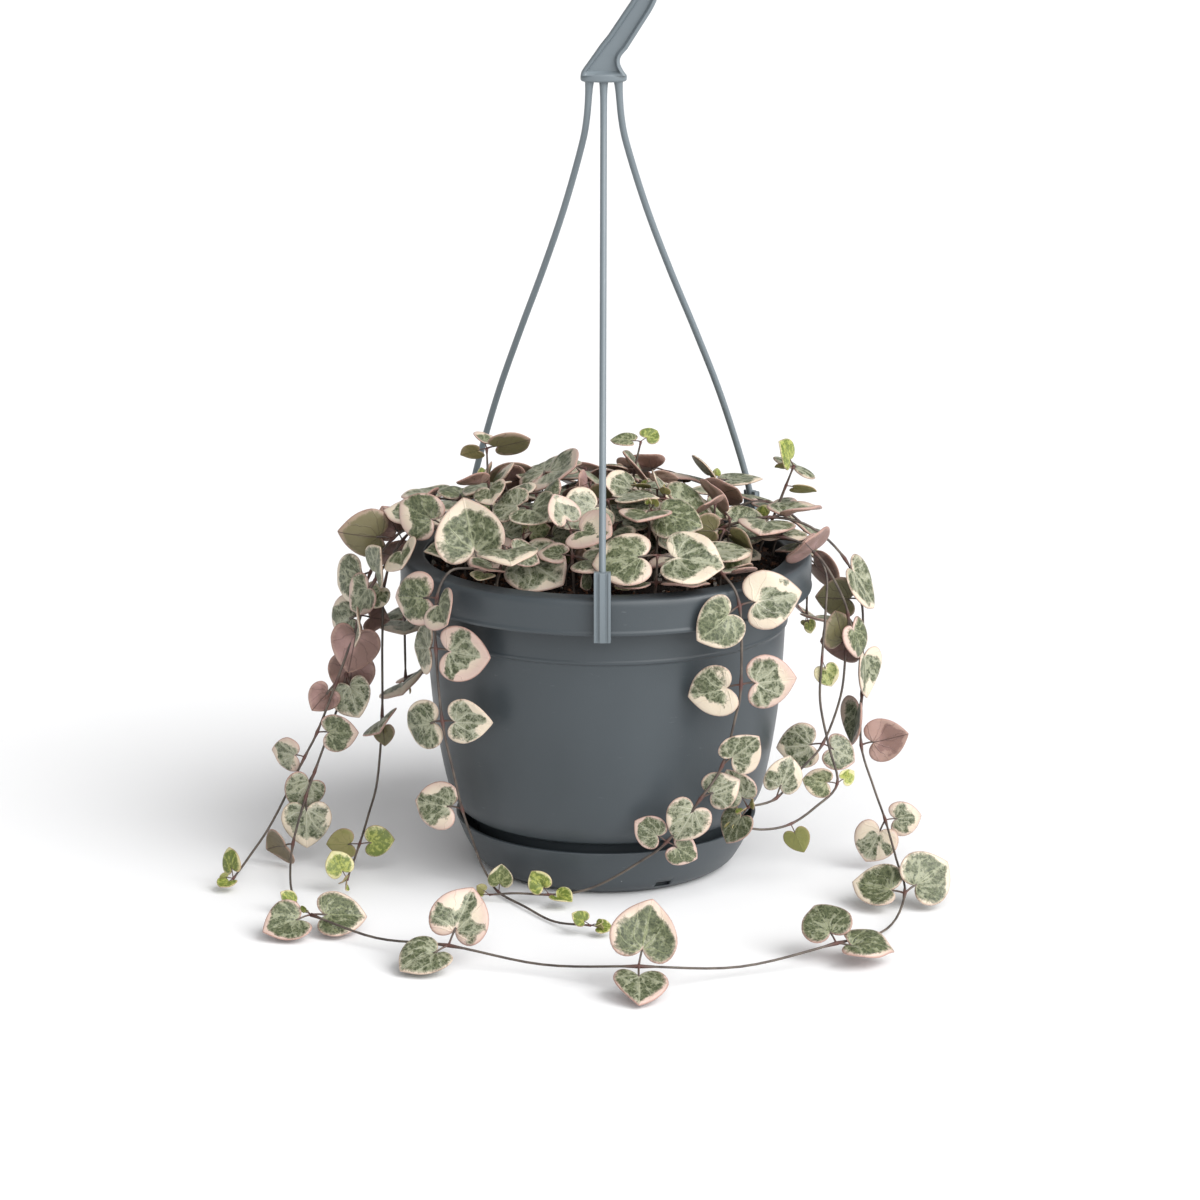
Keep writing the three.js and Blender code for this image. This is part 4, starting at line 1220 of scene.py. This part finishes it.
def leaf_paint(name, underside):
    """The waxy skin of a leaf, which each leaf's traits vary."""
    made, tree, shader = start_material(name)
    nodes = Nodes(tree)
    place = nodes.add("ShaderNodeUVMap", uv_map="heart").outputs[0]
    seed, margin, cream, age, blush, silver = (nodes.stored(kind) for kind in LEAF_TRAITS)
    apart = nodes.add("ShaderNodeCombineXYZ", {"Z": nodes.times(seed, 37)}).outputs[0]
    own = nodes.add("ShaderNodeVectorMath", {0: place, 1: apart}, operation="ADD").outputs[0]
    split = nodes.add("ShaderNodeSeparateXYZ", {"Vector": place})
    across, along = nodes.math("ABSOLUTE", split.outputs["X"]), split.outputs["Y"]
    broad = nodes.noise(own, 1.6, 1)
    middling = nodes.noise(own, 5, 3, 0.6)
    fine = nodes.noise(own, 16, 4, 0.65)
    uneven = nodes.scaled(middling, 0.2, -0.1)

    # Veins fan out from the stalk and bend towards the tip, with side veins off the midrib and a
    # net of veinlets between them.
    from_stalk = nodes.minus(along, 0.03)
    reach = nodes.add("ShaderNodeCombineXYZ", {"X": across, "Y": from_stalk}).outputs[0]
    reach = nodes.add("ShaderNodeVectorMath", {0: reach}, operation="LENGTH").outputs["Value"]
    angle = nodes.times(nodes.math("ARCTAN2", across, from_stalk), nodes.scaled(reach, 0.45, 1))
    angle = nodes.plus(angle, nodes.scaled(broad, 1.6, nodes.times(uneven, 2.6)))
    spoke = nodes.times(nodes.math("PINGPONG", nodes.math("ABSOLUTE", angle), 0.36), reach)
    slant = nodes.minus(along, nodes.times(across, 0.8))
    slant = nodes.plus(slant, nodes.times(uneven, 1.3))
    side_vein = nodes.math("PINGPONG", nodes.plus(slant, 2), 0.13)
    warp = nodes.add("ShaderNodeTexNoise", {"Vector": own, "Scale": 5, "Detail": 2}).outputs["Color"]
    warp = nodes.add("ShaderNodeVectorMath", {0: warp, "Scale": 0.25}, operation="SCALE").outputs[0]
    warped = nodes.add("ShaderNodeVectorMath", {0: own, 1: warp}, operation="ADD").outputs[0]
    net = nodes.add("ShaderNodeTexVoronoi", {"Vector": warped, "Scale": 7}, feature="DISTANCE_TO_EDGE")
    lines = nodes.math("MINIMUM", across, spoke)
    vein = nodes.ramp(lines, 0.022, 0.004)
    minor = nodes.times(nodes.ramp(side_vein, 0.03, 0.006), 0.4)
    veinlet = nodes.times(nodes.ramp(net.outputs[0], 0.08, 0.01), 0.45)

    # The cream margin is widest round the tip. Its inner edge is ragged, with a pale fringe.
    width = nodes.times(cream, nodes.scaled(nodes.ramp(broad, 0.36, 0.64), 1.6, 0.15))
    width = nodes.times(width, nodes.scaled(along, 0.7, 0.55))
    width = nodes.plus(width, nodes.times(uneven, nodes.scaled(cream, 3, 0.6)))
    width = nodes.plus(width, nodes.scaled(fine, 0.3, -0.16))
    beyond = nodes.minus(width, nodes.minus(1, margin))
    pale, fringe = nodes.ramp(beyond, -0.02, 0.03), nodes.ramp(beyond, -0.14, 0.02)
    rim = nodes.times(nodes.ramp(margin, 0.93, 0.985), nodes.scaled(blush, 0.5, 0.3))
    lime = nodes.ramp(age, 0.65, 0.2)

    if underside:
        ground = nodes.mix(nodes.ramp(blush, 0.2, 0.45), OLIVE_UNDER, MAUVE_UNDER)
        flush = nodes.times(nodes.ramp(nodes.plus(broad, uneven), 0.4, 0.66), 0.75)
        shade = nodes.mix(nodes.times(flush, nodes.ramp(blush, 0.25, 0.5)), ground, DUSTY)
        shade = nodes.mix(nodes.times(fringe, 0.5), shade, PALE_UNDER)
        shade = nodes.mix(nodes.times(vein, 0.25), shade, DARK_VEIN)
        shade = nodes.mix(nodes.times(nodes.ramp(across, 0.018, 0.006), 0.7), shade, DARK_VEIN)
        shade = nodes.mix(nodes.times(lime, 0.8), shade, LIME_UNDER)
    else:
        # Silver gathers beside the veins, and flecks of green break it up.
        silvered = nodes.scaled(nodes.ramp(lines, 0.11, 0), 0.42, nodes.times(silver, 0.85))
        silvered = nodes.plus(silvered, nodes.scaled(middling, 2.4, -1.2))
        silvered = nodes.plus(silvered, nodes.scaled(fine, 1.7, -0.85))
        dark = nodes.mix(nodes.ramp(fine, 0.35, 0.65), DEEP_GREEN, MID_GREEN)
        old = nodes.mix(nodes.ramp(silvered, 0.3, 0.85), dark, SILVER)
        bright = nodes.mix(nodes.ramp(silver, 0.1, 0.5), VEIN_GREEN, VEIN_SILVER)
        clear = nodes.scaled(nodes.ramp(uneven, -0.09, 0.07), 0.6, 0.35)
        veins = nodes.math("MAXIMUM", vein, nodes.math("MAXIMUM", minor, veinlet))
        old = nodes.mix(nodes.times(veins, clear), old, bright)
        young = nodes.mix(nodes.ramp(silvered, 0.2, 0.9), LIME_DARK, LIME_LIGHT)
        shade = nodes.mix(lime, old, young)
        pinkness = nodes.scaled(blush, 0.5, nodes.times(margin, 0.7))
        edging = nodes.mix(nodes.ramp(pinkness, 0.7, 1.1), CREAM, PEACH)
        edging = nodes.mix(nodes.times(lime, 0.8), edging, LIME_CREAM)
        shade = nodes.mix(nodes.times(fringe, 0.45), shade, edging)
        shade = nodes.mix(nodes.times(pale, 0.92), shade, edging)

    height = nodes.minus(nodes.times(middling, 0.6), nodes.times(vein, 0.3))
    height = nodes.plus(height, nodes.times(fine, 0.2))
    give(
        shader, Base_Color=nodes.mix(rim, shade, PINK_EDGE), Roughness=nodes.scaled(fine, 0.2, 0.36),
        Normal=nodes.bump(height, 0.0004, 0.8), Subsurface_Weight=0.1,
        Subsurface_Radius=(1, 0.7, 0.35), Subsurface_Scale=0.001,
    )
    return made


leaf_top = leaf_paint("leaf_upper_face", underside=False)
leaf_under = leaf_paint("leaf_lower_face", underside=True)

# The stem's skin is redder where leaves join it.
stem_paint, tree, shader = start_material("stem_skin")
nodes = Nodes(tree)
place = nodes.place()
shade = nodes.mix(nodes.ramp(nodes.noise(place, 240, 3), 0.3, 0.7), BARK_DARK, BARK_LIGHT)
shade = nodes.mix(nodes.stored("margin"), shade, NODE_RED)
give(
    shader, Base_Color=shade, Normal=nodes.bump(nodes.noise(place, 900, 2), 0.0003, 0.4), Roughness=0.55,
)

# Two places at the right of the mound where the leaves are new.
fresh_growth = np.array([(54, -14, 121), (64, 0, 138)])


def leaf_traits(leaf, stem):
    """Small leaves at the ends of the vines and near fresh growth are young and lime green, and
    leaves that lie on the ground have less cream and silver."""
    trails = stem in vines
    at_tip = np.linalg.norm(leaf.at - np.array(stem.points[-1])) < 24
    youth = 0.45 * at_tip * trails * (leaf.length < 10.5)
    from_fresh = np.linalg.norm(leaf.at - fresh_growth, axis=1).min()
    youth += 0.9 * math.exp(-(from_fresh / 14) ** 2)
    age = np.clip((leaf.length - 3.5) / 8 - youth + looks.normal(0, 0.08), 0, 1)
    cream = looks.gamma(2.6, 0.085) if trails else looks.gamma(1.5, 0.11)
    on_ground = leaf.at[2] < 15
    cream = 0.6 * cream if on_ground else cream + 0.12 * (leaf.length > 15.5)
    silver = (0.12 + 0.6 * looks.beta(2, 2)) * (0.55 if on_ground else 1)
    return [looks.uniform(), 0, np.clip(cream, 0.03, 0.6), age, looks.uniform(), silver]


def plant_piece(name, stems, *cad_nodes):
    """One piece with all that grows on some stems: stem and stalks first, then each blade."""
    shapes, rows, hearts, paints = [], [], [], []

    def take(shape, traits, places, paint):
        shapes.append(shape)
        rows.append(traits)
        hearts.append(places)
        paints.extend(paint)

    for stem in stems:
        bare_stem = stem_shape(stem)
        own_stem = with_box(*bare_stem)
        verts, faces = gather([bare_stem, *map(stalk_shape, stem.leaves)])
        traits = np.zeros((len(verts), len(LEAF_TRAITS)))
        for leaf in stem.leaves:
            near = np.exp(-(np.linalg.norm(verts - leaf.at, axis=1) / 1.8) ** 2)
            traits[:, 1] = np.maximum(traits[:, 1], near)
        take((verts, faces), traits, np.zeros((len(verts), 2)), [0] * len(faces))
        for leaf in stem.leaves:
            traits = np.tile(leaf_traits(leaf, stem), (len(leaf_places), 1))
            traits[:, 1] = leaf_margin
            blade = settle(leaf, leaf_shape(leaf), own_stem)
            take((blade, heart_faces), traits, leaf_places, [1] * half_faces + [2] * half_faces)
    paint_slots = [stem_paint, leaf_top, leaf_under]
    piece = place_piece(name, *gather(shapes), paint_slots, "plant", *cad_nodes)
    piece.data.polygons.foreach_set("material_index", paints)
    corners = np.empty(len(piece.data.loops), np.int32)
    piece.data.loops.foreach_get("vertex_index", corners)
    layer = piece.data.uv_layers.new(name="heart")
    layer.data.foreach_set("uv", np.vstack(hearts)[corners].ravel())
    for kind, column in zip(LEAF_TRAITS, np.vstack(rows).T):
        piece.data.attributes.new(kind, "FLOAT", "POINT").data.foreach_set("value", column.copy())


for stem in leafy:
    plant_piece(f"{stem.name}_growth", [stem], stem.name)
plant_piece("young_shoots", [stem for stem in young_stems if stem.leaves])
